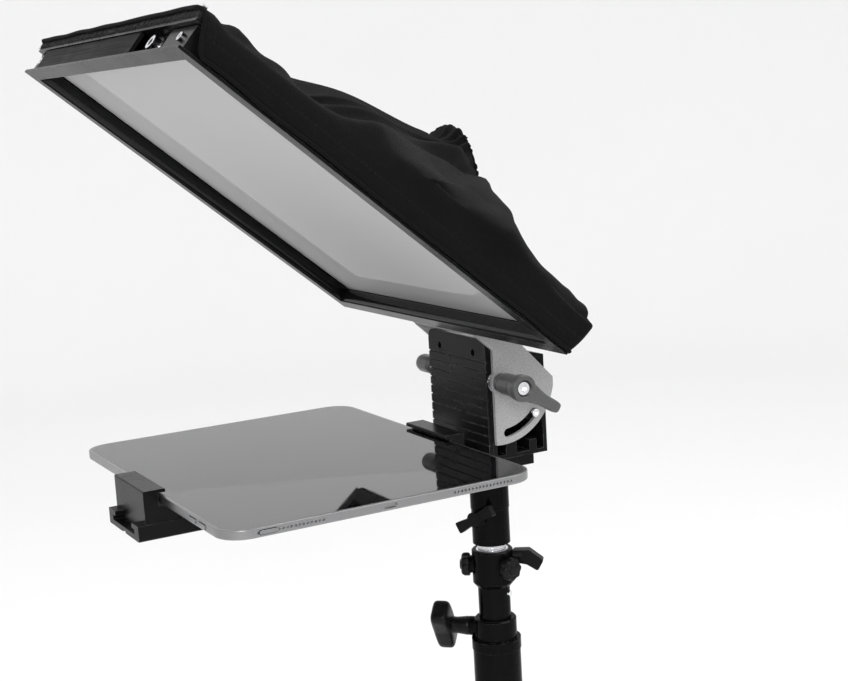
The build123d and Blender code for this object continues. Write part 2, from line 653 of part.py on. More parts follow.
def yoke_plate(name, inner_x, direction):
    """Side plate with a straight front edge, a round foot and the curved tilt slot."""
    foot_drop = math.sqrt(PLATE_RADIUS**2 - PIVOT_TO_FRONT**2)
    rear_y = PIVOT_Y + 44.6
    rear_low = math.sqrt(PLATE_RADIUS**2 - 44.6**2)
    arc_mid = math.radians(-55.0)
    with BuildPart() as plate:
        with BuildSketch(side_plane(inner_x)):
            with BuildLine():
                Polyline(
                    (PIVOT_Y - PIVOT_TO_FRONT, PIVOT_Z - foot_drop),
                    (PIVOT_Y - PIVOT_TO_FRONT, PIVOT_Z + FRONT_EDGE_TOP),
                    (yoke_top_front.Y, yoke_top_front.Z),
                    (yoke_top_back.Y, yoke_top_back.Z),
                    (rear_y, PIVOT_Z - 2.0),
                    (rear_y, PIVOT_Z - rear_low),
                )
                ThreePointArc(
                    (rear_y, PIVOT_Z - rear_low),
                    (
                        PIVOT_Y + PLATE_RADIUS * math.cos(arc_mid),
                        PIVOT_Z + PLATE_RADIUS * math.sin(arc_mid),
                    ),
                    (PIVOT_Y - PIVOT_TO_FRONT, PIVOT_Z - foot_drop),
                )
            make_face()
            with Locations((PIVOT_Y, PIVOT_Z)):
                Circle(STUD_RADIUS + FIT, mode=Mode.SUBTRACT)
            with BuildLine(mode=Mode.PRIVATE) as slot_line:
                CenterArc((PIVOT_Y, PIVOT_Z), SLOT_RADIUS, STOP_ANGLE, -TILT_TRAVEL)
            SlotArc(arc=slot_line.edges()[0], height=6.4, mode=Mode.SUBTRACT)
        extrude(amount=direction * YOKE_THICKNESS)
    finish(plate.part, name)


yoke_plate("yoke_plate_right", YOKE_INNER_X, 1)
yoke_plate("yoke_plate_left", -YOKE_INNER_X, -1)

YOKE_OUTER_X = YOKE_INNER_X + YOKE_THICKNESS
with BuildPart() as yoke_bridge:
    with BuildSketch(frame_plane(0.3)):
        with Locations((0, -HALF_LENGTH - 1.6)):
            Rectangle(2 * YOKE_OUTER_X, 3.0)
    extrude(amount=-(FRAME_DEPTH - 0.6))
finish(yoke_bridge.part, "yoke_bridge")

bridge_under = Plane(
    origin=FRAME_BOTTOM + FRAME_UP * -3.1 + FRAME_BACK * (FRAME_DEPTH / 2),
    x_dir=(1, 0, 0),
    z_dir=FRAME_UP * -1,
)
with BuildPart() as bridge_screws:
    with BuildSketch(bridge_under):
        with GridLocations(52, 1, 2, 1):
            Circle(4.2)
    extrude(amount=3.0)
    with BuildSketch(bridge_under.offset(3.0)):
        with GridLocations(52, 1, 2, 1):
            RegularPolygon(2.3, 6)
    extrude(amount=-1.8, mode=Mode.SUBTRACT)
finish(bridge_screws.part, "bridge_screws")

with BuildPart() as pivot_bolt:
    with BuildSketch(side_plane(-50.0)):
        with Locations((PIVOT_Y, PIVOT_Z)):
            Circle(STUD_RADIUS)
    extrude(amount=100.0)
finish(pivot_bolt.part, "pivot_bolt")

with BuildPart() as pivot_washers:
    for washer_x in (-YOKE_INNER_X + 0.1, BLOCK_WIDTH / 2 + 0.1):
        with BuildSketch(side_plane(washer_x)):
            with Locations((PIVOT_Y, PIVOT_Z)):
                Circle(8.0)
                Circle(STUD_RADIUS + 0.2, mode=Mode.SUBTRACT)
        extrude(amount=0.8)
finish(pivot_washers.part, "pivot_washers")

with BuildPart() as stop_screws:
    for sign in (-1, 1):
        with BuildSketch(side_plane(sign * 26.0)):
            with Locations((stop_y, stop_z)):
                Circle(2.5)
        extrude(amount=sign * (YOKE_OUTER_X + 1.0 - 26.0))
        with BuildSketch(side_plane(sign * (YOKE_OUTER_X + 0.4))):
            with Locations((stop_y, stop_z)):
                Circle(2.9)
        extrude(amount=sign * 2.6)
        with BuildSketch(side_plane(sign * (YOKE_OUTER_X + 3.0))):
            with Locations((stop_y, stop_z)):
                RegularPolygon(1.4, 6)
        extrude(amount=-sign * 1.4, mode=Mode.SUBTRACT)
finish(stop_screws.part, "stop_screws")

LEVER_ARM = 31.5
LEVER_DROP = -33.0
LEVER_HUB_X = YOKE_OUTER_X + 1.0
LEVER_TIP_X = 76.0
with BuildPart() as tilt_lever:
    with BuildSketch(side_plane(LEVER_HUB_X)) as hub_root:
        with Locations((PIVOT_Y, PIVOT_Z)):
            Circle(6.6)
    with BuildSketch(side_plane(LEVER_HUB_X + 6)) as hub_neck:
        with Locations((PIVOT_Y, PIVOT_Z)):
            Circle(7.6)
    loft(sections=[hub_root.sketch, hub_neck.sketch])
    with BuildSketch(side_plane(LEVER_HUB_X + 6)):
        with Locations((PIVOT_Y, PIVOT_Z)):
            Circle(7.6)
    extrude(amount=LEVER_TIP_X - LEVER_HUB_X - 6)
    with BuildSketch(side_plane(LEVER_TIP_X - 8.5)):
        with Locations((PIVOT_Y, PIVOT_Z)):
            Circle(6.0)
        drop = math.radians(LEVER_DROP)
        with Locations((PIVOT_Y + LEVER_ARM * math.cos(drop), PIVOT_Z + LEVER_ARM * math.sin(drop))):
            Circle(3.5)
        make_hull()
    extrude(amount=8.0)
    with BuildSketch(side_plane(LEVER_TIP_X)):
        with Locations((PIVOT_Y, PIVOT_Z)):
            Circle(5.2)
    extrude(amount=-5.0, mode=Mode.SUBTRACT)
    with BuildSketch(side_plane(LEVER_HUB_X)):
        with Locations((PIVOT_Y, PIVOT_Z)):
            Circle(STUD_RADIUS + FIT)
    extrude(amount=50.0 - LEVER_HUB_X + 1.0, mode=Mode.SUBTRACT)
finish(tilt_lever.part, "tilt_lever")

with BuildPart() as lever_screw:
    with BuildSketch(side_plane(LEVER_TIP_X - 5.0)):
        with Locations((PIVOT_Y, PIVOT_Z)):
            Circle(4.6)
    extrude(amount=3.6)
    with BuildSketch(side_plane(LEVER_TIP_X - 1.4)):
        with Locations((PIVOT_Y, PIVOT_Z)):
            RegularPolygon(2.2, 6)
    extrude(amount=-2.0, mode=Mode.SUBTRACT)
finish(lever_screw.part, "lever_screw")

with BuildPart() as tilt_knob:
    with BuildSketch(side_plane(-LEVER_HUB_X)):
        with Locations((PIVOT_Y, PIVOT_Z)):
            Circle(5.4)
    extrude(amount=-4.0)
    with BuildSketch(side_plane(-LEVER_HUB_X - 4.0)):
        with Locations((PIVOT_Y, PIVOT_Z)):
            Circle(7.0)
    extrude(amount=-19.0)
    fillet(tilt_knob.edges().filter_by(GeomType.CIRCLE).group_by(Axis.X)[0], 2.6)
    with BuildSketch(side_plane(-LEVER_HUB_X)):
        with Locations((PIVOT_Y, PIVOT_Z)):
            Circle(STUD_RADIUS + FIT)
    extrude(amount=-6.0, mode=Mode.SUBTRACT)
finish(tilt_knob.part, "tilt_knob")

# ---- mirror frame: four mitred channels, open outwards ----
SIDES = ("top", "left", "bottom", "right")


def frame_corner(index, inset):
    """Corner of the frame's outline, counted from the top right, moved in by inset."""
    x_sign, y_sign = ((1, 1), (-1, 1), (-1, -1), (1, -1))[index % 4]
    return (x_sign * (FRAME_HALF_WIDTH - inset), y_sign * (HALF_LENGTH - inset))


def mitred_strip(index, outer, inner):
    """Corners of the trapezium along one side between two insets, with mitred ends."""
    return (
        frame_corner(index, outer),
        frame_corner(index + 1, outer),
        frame_corner(index + 1, inner),
        frame_corner(index, inner),
    )


# each channel's layers: rear depth, thickness, and inset of the layer's outer edge
CHANNEL_LAYERS = (
    (FRAME_WALL, FRAME_WALL, 0.0),
    (FRAME_DEPTH, FRAME_WALL, 0.0),
    (FRAME_DEPTH, FRAME_DEPTH, FRAME_FACE - FRAME_WALL),
)
for side_index, side_name in enumerate(SIDES):
    with BuildPart() as frame_rail:
        for rear_depth, thickness, inset in CHANNEL_LAYERS:
            with BuildSketch(frame_plane(rear_depth)):
                with BuildLine():
                    Polyline(*mitred_strip(side_index, inset, FRAME_FACE), close=True)
                make_face()
            extrude(amount=thickness)
    finish(frame_rail.part, f"frame_rail_{side_name}")

BRACKET_LEG = 36.0
BRACKET_FROM = FRAME_WALL + 0.6
BRACKET_TO = FRAME_DEPTH - FRAME_WALL - 0.6
with BuildPart() as corner_brackets:
    with BuildSketch(frame_plane(BRACKET_TO)):
        for x_sign in (-1, 1):
            for y_sign in (-1, 1):
                corner_x = x_sign * (FRAME_HALF_WIDTH - 5.6)
                corner_y = y_sign * (HALF_LENGTH - 5.6)
                with Locations((corner_x - x_sign * BRACKET_LEG / 2, corner_y)):
                    Rectangle(BRACKET_LEG, 4.4)
                with Locations((corner_x, corner_y - y_sign * BRACKET_LEG / 2)):
                    Rectangle(4.4, BRACKET_LEG)
                with Locations((corner_x, corner_y)):
                    Rectangle(4.4, 4.4)
    extrude(amount=BRACKET_TO - BRACKET_FROM)
finish(corner_brackets.part, "corner_brackets")

SCREW_INSET = 16.0
bracket_top = HALF_LENGTH - 5.6 + 2.2
with BuildPart() as corner_screws:
    for x_sign in (-1, 1):
        for y_sign in (-1, 1):
            spot = FRAME_CENTRE + Vector(x_sign * (FRAME_HALF_WIDTH - SCREW_INSET), 0, 0)
            spot = spot + FRAME_UP * (y_sign * bracket_top) + FRAME_BACK * (FRAME_DEPTH / 2)
            with BuildSketch(Plane(origin=spot, x_dir=(1, 0, 0), z_dir=FRAME_UP * y_sign)):
                Circle(2.8)
            extrude(amount=1.8)
            with BuildSketch(Plane(origin=spot + FRAME_UP * (y_sign * 1.8), z_dir=FRAME_UP * y_sign)):
                RegularPolygon(1.3, 6)
            extrude(amount=-1.0, mode=Mode.SUBTRACT)
finish(corner_screws.part, "corner_screws")

# satin cover strip clipped into the top channel, short of its right end
STRIP_LEFT = -134.0
STRIP_RIGHT = 68.0
strip_plane = Plane(
    origin=FRAME_CENTRE + FRAME_UP * (HALF_LENGTH - 3.2) + FRAME_BACK * (FRAME_DEPTH / 2),
    x_dir=(1, 0, 0),
    z_dir=FRAME_UP,
)
with BuildPart() as cover_strip:
    with BuildSketch(strip_plane):
        with Locations(((STRIP_LEFT + STRIP_RIGHT) / 2, 0)):
            Rectangle(STRIP_RIGHT - STRIP_LEFT, FRAME_DEPTH - 2 * FRAME_WALL - 0.4)
    extrude(amount=2.4)
finish(cover_strip.part, "cover_strip")

BOLT_X = 93.0
channel_floor = Plane(
    origin=FRAME_CENTRE + Vector(BOLT_X, 0, 0)
    + FRAME_UP * (HALF_LENGTH - FRAME_FACE + FRAME_WALL + 0.1)
    + FRAME_BACK * (FRAME_DEPTH / 2),
    x_dir=(1, 0, 0),
    z_dir=FRAME_UP,
)
with BuildPart() as accessory_bolt:
    with BuildSketch(channel_floor):
        Circle(6.6)
    extrude(amount=1.2)
    with BuildSketch(channel_floor.offset(1.2)):
        Circle(4.6)
    extrude(amount=4.6)
    with BuildSketch(channel_floor.offset(5.8)):
        RegularPolygon(2.6, 6)
    extrude(amount=-3.0, mode=Mode.SUBTRACT)
finish(accessory_bolt.part, "accessory_bolt")

# glass between the channels' inner walls, seated on a soft bead behind it
GLASS_DEPTH = 12.0
GLASS_GAP = 0.3
BEAD_WIDTH = 4.0
BEAD_DEPTH = 3.0
glass_half_x = FRAME_HALF_WIDTH - FRAME_FACE - GLASS_GAP
glass_half_y = HALF_LENGTH - FRAME_FACE - GLASS_GAP
GLASS_BACK = GLASS_DEPTH + GLASS_THICKNESS
with BuildPart() as glass:
    with BuildSketch(frame_plane(GLASS_BACK)):
        Rectangle(2 * glass_half_x, 2 * glass_half_y)
    extrude(amount=GLASS_THICKNESS)
finish(glass.part, "beam_splitter_glass")

with BuildPart() as gasket:
    with BuildSketch(frame_plane(GLASS_BACK + 0.1 + BEAD_DEPTH)):
        Rectangle(2 * glass_half_x, 2 * glass_half_y)
        Rectangle(2 * (glass_half_x - BEAD_WIDTH), 2 * (glass_half_y - BEAD_WIDTH), mode=Mode.SUBTRACT)
    extrude(amount=BEAD_DEPTH)
finish(gasket.part, "glass_gasket")

# hook-and-loop rim along the frame's top rear edge, which holds the hood
RIM_LOW = FRAME_DEPTH
RIM_DEPTH = 7.0
with BuildPart() as hook_strip:
    with BuildSketch(frame_plane(RIM_LOW + RIM_DEPTH)):
        with Locations((0, HALF_LENGTH - 1.2)):
            Rectangle(2 * FRAME_HALF_WIDTH, 2.2)
    extrude(amount=RIM_DEPTH)
finish(hook_strip.part, "hook_strip")

# ---- hood: four cloth panels from the frame's rear edge to the lens cuff ----
HOOD_START = FRAME_DEPTH + 5.1
HOOD_SAG = 12.0
HOOD_BULGE = 8.0
CUFF_HALF = CUFF_RADIUS + 3.0
MID_SHARE = 0.5
FLAP = 2.0                   # hem wrapped over the outside of the left and right channels
FLAP_FROM = 2.5
FLAP_END = 14.0
FLAP_FOOT = 4.0
hood_top_start = FRAME_CENTRE + FRAME_UP * (HALF_LENGTH - 2.6) + FRAME_BACK * HOOD_START
hood_low_start = FRAME_BOTTOM + FRAME_UP * -1.0 + FRAME_BACK * HOOD_START
hood_top_end = Vector(0, CUFF_Y, LENS_AXIS_Z + CUFF_HALF)
hood_low_end = Vector(0, CUFF_Y, LENS_AXIS_Z - CUFF_HALF)
hood_top_mid = hood_top_start * (1 - MID_SHARE) + hood_top_end * MID_SHARE - Vector(0, 0, HOOD_SAG)
hood_low_mid = hood_low_start * (1 - MID_SHARE) + hood_low_end * MID_SHARE + Vector(0, HOOD_BULGE, 0)
MID_HALF_WIDTH = FRAME_HALF_WIDTH * (1 - MID_SHARE) + CUFF_HALF * MID_SHARE + HOOD_BULGE
HOOD_STATIONS = (
    (hood_top_start, hood_low_start, FRAME_HALF_WIDTH),
    (hood_top_mid, hood_low_mid, MID_HALF_WIDTH),
    (hood_top_end, hood_low_end, CUFF_HALF),
)


def station_plane(top, low):
    """Plane through a station's top and bottom edges, local y up."""
    up = (top - low).normalized()
    return Plane(origin=(top + low) / 2, x_dir=(1, 0, 0), z_dir=Vector(1, 0, 0).cross(up))


def hood_panel(name, across, upward):
    """Cloth panel lofted through the stations; across and upward pick the side."""
    with BuildPart() as panel:
        strips = []
        for top, low, half_width in HOOD_STATIONS:
            half_height = (top - low).length / 2
            with BuildSketch(station_plane(top, low)) as strip:
                if upward:
                    with Locations((0, upward * (half_height - CLOTH / 2))):
                        Rectangle(2 * half_width, CLOTH)
                else:
                    with Locations((across * (half_width - CLOTH / 2), 0)):
                        Rectangle(CLOTH, 2 * (half_height - CLOTH) - 1.0)
            strips.append(strip.sketch)
        loft(sections=strips[:2], ruled=True)
        loft(sections=strips[1:], ruled=True)
        if across:
            flap_x = across * (FRAME_HALF_WIDTH + 0.5 + FLAP / 2)
            with BuildSketch(frame_plane(HOOD_START + FLAP)) as flap:
                with Locations((flap_x, (FLAP_FOOT - FLAP_END) / 2)):
                    Rectangle(FLAP, FRAME_LENGTH - FLAP_END - FLAP_FOOT)
            extrude(flap.sketch, amount=HOOD_START + FLAP - FLAP_FROM)
            with BuildSketch(frame_plane(HOOD_START + FLAP)) as hem:
                with Locations((flap_x - across * FLAP, (FLAP_FOOT - FLAP_END) / 2)):
                    Rectangle(2 * FLAP, FRAME_LENGTH - FLAP_END - FLAP_FOOT)
            extrude(hem.sketch, amount=FLAP)
    finish(panel.part, name)


hood_panel("hood_top", 0, 1)
hood_panel("hood_bottom", 0, -1)
hood_panel("hood_left", -1, 0)
hood_panel("hood_right", 1, 0)

with BuildPart() as cuff:
    with BuildSketch(cross_plane(CUFF_Y + 4.0)):
        with Locations((0, LENS_AXIS_Z)):
            Rectangle(2 * CUFF_HALF, 2 * CUFF_HALF)
            Circle(CUFF_RADIUS, mode=Mode.SUBTRACT)
    extrude(amount=3.8)
    with BuildSketch(cross_plane(CUFF_Y + 14.0)):
        with Locations((0, LENS_AXIS_Z)):
            Circle(CUFF_RADIUS + 2.8)
            Circle(CUFF_RADIUS, mode=Mode.SUBTRACT)
    extrude(amount=10.5)
finish(cuff.part, "hood_cuff")
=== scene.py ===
"""Looks of the teleprompter: its cloth hood, fuzzy rim, frame lip, knobs and knurling, and the finish of
every machined piece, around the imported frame. Lengths are metres in the frame's own axes."""

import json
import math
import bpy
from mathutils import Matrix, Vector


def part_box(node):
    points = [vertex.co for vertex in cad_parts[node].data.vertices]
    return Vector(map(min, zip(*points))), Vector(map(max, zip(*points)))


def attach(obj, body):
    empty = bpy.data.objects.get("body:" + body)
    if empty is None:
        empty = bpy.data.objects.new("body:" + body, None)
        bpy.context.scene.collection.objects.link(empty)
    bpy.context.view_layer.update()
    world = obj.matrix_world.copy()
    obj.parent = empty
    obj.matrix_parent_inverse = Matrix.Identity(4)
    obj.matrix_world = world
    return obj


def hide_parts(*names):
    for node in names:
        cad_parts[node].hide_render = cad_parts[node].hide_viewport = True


bl_info = {
    "name": "Teleprompter looks",
    "version": (1, 0, 0),
    "blender": (4, 5, 0),
    "location": "3D View > Sidebar > Teleprompter",
    "description": "Builds the hood, rim, knobs and finishes of a teleprompter around its packed frame",
    "category": "Add Mesh",
}

import bmesh
import bpy
import numpy as np
from bpy.props import FloatProperty, FloatVectorProperty, IntProperty, PointerProperty
from bpy.types import Operator, Panel, PropertyGroup
from mathutils import Matrix, Vector

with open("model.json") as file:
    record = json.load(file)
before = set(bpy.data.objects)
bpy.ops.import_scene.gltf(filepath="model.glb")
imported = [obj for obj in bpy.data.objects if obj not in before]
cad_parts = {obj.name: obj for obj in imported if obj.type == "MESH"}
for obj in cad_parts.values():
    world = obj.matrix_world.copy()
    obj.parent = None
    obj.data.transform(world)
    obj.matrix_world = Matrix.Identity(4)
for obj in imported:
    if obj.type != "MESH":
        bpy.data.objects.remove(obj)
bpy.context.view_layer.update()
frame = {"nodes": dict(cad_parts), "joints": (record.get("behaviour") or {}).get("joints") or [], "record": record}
NODES = frame["nodes"]
SLOT_OF = {row["node"]: row["material_slot"] for row in frame["record"]["subparts"]}
JOINTS = {joint["name"]: joint for joint in frame["joints"]}
TAU = 2 * math.pi
RIGHT = np.array([1.0, 0.0, 0.0])
REARWARD = np.array([0.0, 1.0, 0.0])


# ---------------------------------------------------------------- meshes from grids


def smooth(x):
    """Smooth step: 0 below 0, 1 above 1, and 3x^2 - 2x^3 between."""
    x = np.clip(x, 0.0, 1.0)
    return x * x * (3 - 2 * x)


def unit(v):
    """Vectors along the last axis, each divided by its own length."""
    return v / np.maximum(np.linalg.norm(v, axis=-1, keepdims=True), 1e-12)


def bell(distance, width):
    """Bell of height 1 that falls to 1/e at its width: exp(-(distance / width)^2)."""
    return np.exp(-((distance / width) ** 2))


def power_wave(angle, exponent):
    """Cosine and sine raised to an exponent with their signs kept: a circle that squares up below 1."""
    c, s = np.cos(angle), np.sin(angle)
    return np.sign(c) * np.abs(c) ** exponent, np.sign(s) * np.abs(s) ** exponent


def make_mesh(name, points, faces, uv=None):
    """Object from a point array and a face array; uv holds one pair for each face corner."""
    mesh = bpy.data.meshes.new(name)
    mesh.vertices.add(len(points))
    mesh.vertices.foreach_set("co", np.asarray(points, np.float32).ravel())
    sides = faces.shape[1]
    mesh.loops.add(faces.size)
    mesh.loops.foreach_set("vertex_index", faces.astype(np.int32).ravel())
    mesh.polygons.add(len(faces))
    mesh.polygons.foreach_set("loop_start", np.arange(0, faces.size, sides, dtype=np.int32))
    mesh.polygons.foreach_set("loop_total", np.full(len(faces), sides, np.int32))
    if uv is not None:
        layer = mesh.uv_layers.new(name="cloth")
        layer.data.foreach_set("uv", np.asarray(uv, np.float32).ravel())
    mesh.update(calc_edges=True)
    mesh.validate()
    mesh.polygons.foreach_set("use_smooth", np.ones(len(mesh.polygons), bool))
    piece = bpy.data.objects.new(name, mesh)
    bpy.context.scene.collection.objects.link(piece)
    return piece


def grid_faces(rows, columns, closed):
    """Quads of a rows by columns grid; closed joins the last column to the first."""
    across = columns if closed else columns - 1
    i, j = np.meshgrid(np.arange(rows - 1), np.arange(across), indexing="ij")
    k = (j + 1) % columns
    quads = np.stack([i * columns + j, i * columns + k, (i + 1) * columns + k, (i + 1) * columns + j], -1)
    return quads.reshape(-1, 4)


def grid_uv(u, v):
    """Face-corner pairs of a grid from its column values u, one more than its columns, and row values v."""
    i, j = np.meshgrid(np.arange(len(v) - 1), np.arange(len(u) - 1), indexing="ij")
    corners = np.stack(
        [
            np.stack([u[j], v[i]], -1),
            np.stack([u[j + 1], v[i]], -1),
            np.stack([u[j + 1], v[i + 1]], -1),
            np.stack([u[j], v[i + 1]], -1),
        ],
        -2,
    )
    return corners.reshape(-1, 2)


def capped_tube(rings):
    """Points and quads of a closed tube: rings, rows by columns by 3, with a pole at each end."""
    rows, columns, _ = rings.shape
    first = np.repeat(rings[:1].mean(axis=1, keepdims=True), columns, axis=1)
    last = np.repeat(rings[-1:].mean(axis=1, keepdims=True), columns, axis=1)
    return np.concatenate([first, rings, last]).reshape(-1, 3), grid_faces(rows + 2, columns, True)


def closed_piece(name, rings):
    """Closed object from rings of points, with doubles merged and normals turned outwards."""
    points, faces = capped_tube(rings)
    piece = make_mesh(name, points, faces)
    tidy_normals(piece)
    return piece


def tidy_normals(piece):
    """Merges doubled points and turns every face outwards."""
    shape = bmesh.new()
    shape.from_mesh(piece.data)
    bmesh.ops.remove_doubles(shape, verts=shape.verts, dist=1e-6)
    bmesh.ops.recalc_face_normals(shape, faces=shape.faces)
    shape.to_mesh(piece.data)
    shape.free()
    piece.data.update()


def basis(axis, up=(0, 0, 1)):
    """Two unit vectors square to an axis, the second one as near to up as it can be."""
    axis = Vector(axis).normalized()
    side = Vector(up).cross(axis)
    if side.length < 1e-6:
        side = Vector((1, 0, 0))
    side.normalize()
    return np.array(side), np.array(axis.cross(side).normalized()), np.array(axis)


def turned(name, centre, axis, profile, lobes=0, depth=0.0, columns=96):
    """Surface of revolution: a profile of (distance along the axis, radius, lobe share), with four rows to
    each of its points. The radius is cut by depth times the share times (1 - cos(lobes * angle)) / 2."""
    given, wanted = np.linspace(0, 1, len(profile)), np.linspace(0, 1, 4 * len(profile))
    along, radius, share = (np.interp(wanted, given, column) for column in np.array(profile, float).T)
    angle = np.arange(columns) * TAU / columns
    cut = depth * share[:, None] * (1 - np.cos(lobes * angle))[None, :] / 2
    r = radius[:, None] - cut
    side, up, forward = basis(axis)
    rings = (
        np.array(centre)
        + along[:, None, None] * forward
        + (r * np.cos(angle))[..., None] * side
        + (r * np.sin(angle))[..., None] * up
    )
    return closed_piece(name, rings)


def soft_bar(name, start, end, across, widths, heights, square=0.45, rows=28, columns=40):
    """Bar with squared, rounded section: widths along across and heights square to it, each given at even
    stations from start to end; both ends close over by the share (1 - s^12)^(1/4)."""
    start, end = np.array(start, float), np.array(end, float)
    forward = unit(end - start)
    across = unit(np.array(across, float) - forward * np.dot(across, forward))
    up = np.cross(forward, across)
    s = np.sin(np.linspace(-math.pi / 2, math.pi / 2, rows + 2))[1:-1]
    share = (1 - s**12) ** (1 / 4)
    at = (s + 1) / 2
    w = np.interp(at, np.linspace(0, 1, len(widths)), widths) * share / 2
    h = np.interp(at, np.linspace(0, 1, len(heights)), heights) * share / 2
    c, d = power_wave(np.arange(columns) * TAU / columns, square)
    rings = (
        (start + np.outer(at, end - start))[:, None, :]
        + (w[:, None] * c)[..., None] * across
        + (h[:, None] * d)[..., None] * up
    )
    return closed_piece(name, rings)


def join(name, pieces):
    """One object from several closed ones, under a new name."""
    for piece in bpy.context.selected_objects:
        piece.select_set(False)
    for piece in pieces:
        piece.select_set(True)
    bpy.context.view_layer.objects.active = pieces[0]
    bpy.ops.object.join()
    whole = bpy.context.view_layer.objects.active
    whole.name = name
    whole.data.name = name
    whole.select_set(False)
    return whole


# ---------------------------------------------------------------- shader groups and materials


class Web:
    """Short way to add nodes to a tree and link them by socket name."""

    def __init__(self, tree):
        self.tree = tree

    def add(self, kind, **settings):
        node = self.tree.nodes.new(kind)
        for key, value in settings.items():
            setattr(node, key, value)
        return node

    def put(self, node, **inputs):
        """Sets or links inputs; underscores stand for spaces in socket names."""
        for key, value in inputs.items():
            socket = node.inputs[key.replace("_", " ")]
            if isinstance(value, bpy.types.NodeSocket):
                self.tree.links.new(value, socket)
            else:
                socket.default_value = value
        return node

    def maths(self, operation, a, b=0.0, clamp=False):
        node = self.add("ShaderNodeMath", operation=operation, use_clamp=clamp)
        for socket, value in zip(node.inputs, (a, b)):
            if isinstance(value, bpy.types.NodeSocket):
                self.tree.links.new(value, socket)
            else:
                socket.default_value = value
        return node.outputs[0]

    def ramp(self, value, low, high, start=0.0, end=1.0):
        """Value mapped from start..end to low..high."""
        node = self.add("ShaderNodeMapRange")
        self.put(node, Value=value, From_Min=start, From_Max=end, To_Min=low, To_Max=high)
        return node.outputs["Result"]

    def blend(self, share, a, b):
        """Colour a turning into colour b by share."""
        node = self.add("ShaderNodeMix", data_type="RGBA")
        for index, value in ((0, share), (6, a), (7, b)):
            if isinstance(value, bpy.types.NodeSocket):
                self.tree.links.new(value, node.inputs[index])
            else:
                node.inputs[index].default_value = value
        return node.outputs[2]


def new_group(name, inputs, outputs):
    """Empty shader group with float or vector sockets; inputs map names to (type, default)."""
    group = bpy.data.node_groups.new(name, "ShaderNodeTree")
    for socket, (kind, default) in inputs.items():
        made = group.interface.new_socket(name=socket, in_out="INPUT", socket_type=kind)
        if default is not None:
            made.default_value = default
    for socket, kind in outputs.items():
        group.interface.new_socket(name=socket, in_out="OUTPUT", socket_type=kind)
    web = Web(group)
    return web, web.add("NodeGroupInput").outputs, web.add("NodeGroupOutput").inputs


FLOAT, VECTOR = "NodeSocketFloat", "NodeSocketVector"


def grain_group():
    """Two noises of a given size in metres, one fine and one broad, put out as values from 0 to 1."""
    web, given, out = new_group(
        "fine_grain",
        {"Vector": (VECTOR, None), "Grain Size": (FLOAT, 0.001), "Patch Size": (FLOAT, 0.05)},
        {"Grain": FLOAT, "Patch": FLOAT},
    )
    for label, size, detail in (("Grain", "Grain Size", 3.0), ("Patch", "Patch Size", 4.0)):
        noise = web.add("ShaderNodeTexNoise")
        web.put(noise, Vector=given["Vector"], Scale=web.maths("DIVIDE", 1.0, given[size]), Detail=detail)
        web.tree.links.new(noise.outputs["Fac"], out[label])
    return web.tree


def edge_group():
    """Rounded edges: the normal averaged within a radius, and a mask where it departs, broken up by
    noise as far as Evenness lets it. The mask carries edge wear and also a painted highlight on edges that catch
    light."""
    web, given, out = new_group(
        "edge_wear_and_highlight",
        {
            "Vector": (VECTOR, None),
            "Radius": (FLOAT, 0.0006),
            "Break Up": (FLOAT, 0.004),
            "Evenness": (FLOAT, 0.0),
        },
        {"Mask": FLOAT, "Normal": VECTOR},
    )
    bevel = web.add("ShaderNodeBevel", samples=4)
    web.put(bevel, Radius=given["Radius"])
    facing = web.add("ShaderNodeVectorMath", operation="DOT_PRODUCT")
    web.tree.links.new(bevel.outputs["Normal"], facing.inputs[0])
    web.tree.links.new(web.add("ShaderNodeNewGeometry").outputs["Normal"], facing.inputs[1])
    edge = web.ramp(facing.outputs["Value"], 1.0, 0.0, 0.75, 0.985)
    noise = web.add("ShaderNodeTexNoise")
    web.put(noise, Vector=given["Vector"], Scale=web.maths("DIVIDE", 1.0, given["Break Up"]), Detail=5.0)
    # Evenness fills in the breaks, so the mask becomes an unbroken painted highlight line along the edges
    chips = web.maths("MAXIMUM", web.ramp(noise.outputs["Fac"], 0.0, 1.0, 0.42, 0.62), given["Evenness"])
    web.tree.links.new(web.maths("MULTIPLY", edge, chips, clamp=True), out["Mask"])
    web.tree.links.new(bevel.outputs["Normal"], out["Normal"])
    return web.tree


def dust_group():
    """Dust that settles on faces turned upwards, in loose patches."""
    web, given, out = new_group(
        "settled_dust",
        {"Vector": (VECTOR, None), "Patch Size": (FLOAT, 0.02)},
        {"Mask": FLOAT},
    )
    split = web.add("ShaderNodeSeparateXYZ")
    web.tree.links.new(web.add("ShaderNodeNewGeometry").outputs["Normal"], split.inputs[0])
    upward = web.ramp(split.outputs["Z"], 0.0, 1.0, 0.2, 1.0)
    noise = web.add("ShaderNodeTexNoise")
    web.put(noise, Vector=given["Vector"], Scale=web.maths("DIVIDE", 1.0, given["Patch Size"]), Detail=8.0)
    patches = web.ramp(noise.outputs["Fac"], 0.0, 1.0, 0.4, 0.75)
    web.tree.links.new(web.maths("MULTIPLY", upward, patches, clamp=True), out["Mask"])
    return web.tree


def streak_group():
    """Fine drawn lines along one axis, from noise squeezed across the lines."""
    web, given, out = new_group(
        "drawn_lines",
        {"Vector": (VECTOR, None), "Across": (VECTOR, (900.0, 12.0, 900.0))},
        {"Lines": FLOAT},
    )
    scaled = web.add("ShaderNodeVectorMath", operation="MULTIPLY")
    web.tree.links.new(given["Vector"], scaled.inputs[0])
    web.tree.links.new(given["Across"], scaled.inputs[1])
    noise = web.add("ShaderNodeTexNoise")
    web.put(noise, Vector=scaled.outputs[0], Scale=1.0, Detail=3.0)
    web.tree.links.new(noise.outputs["Fac"], out["Lines"])
    return web.tree


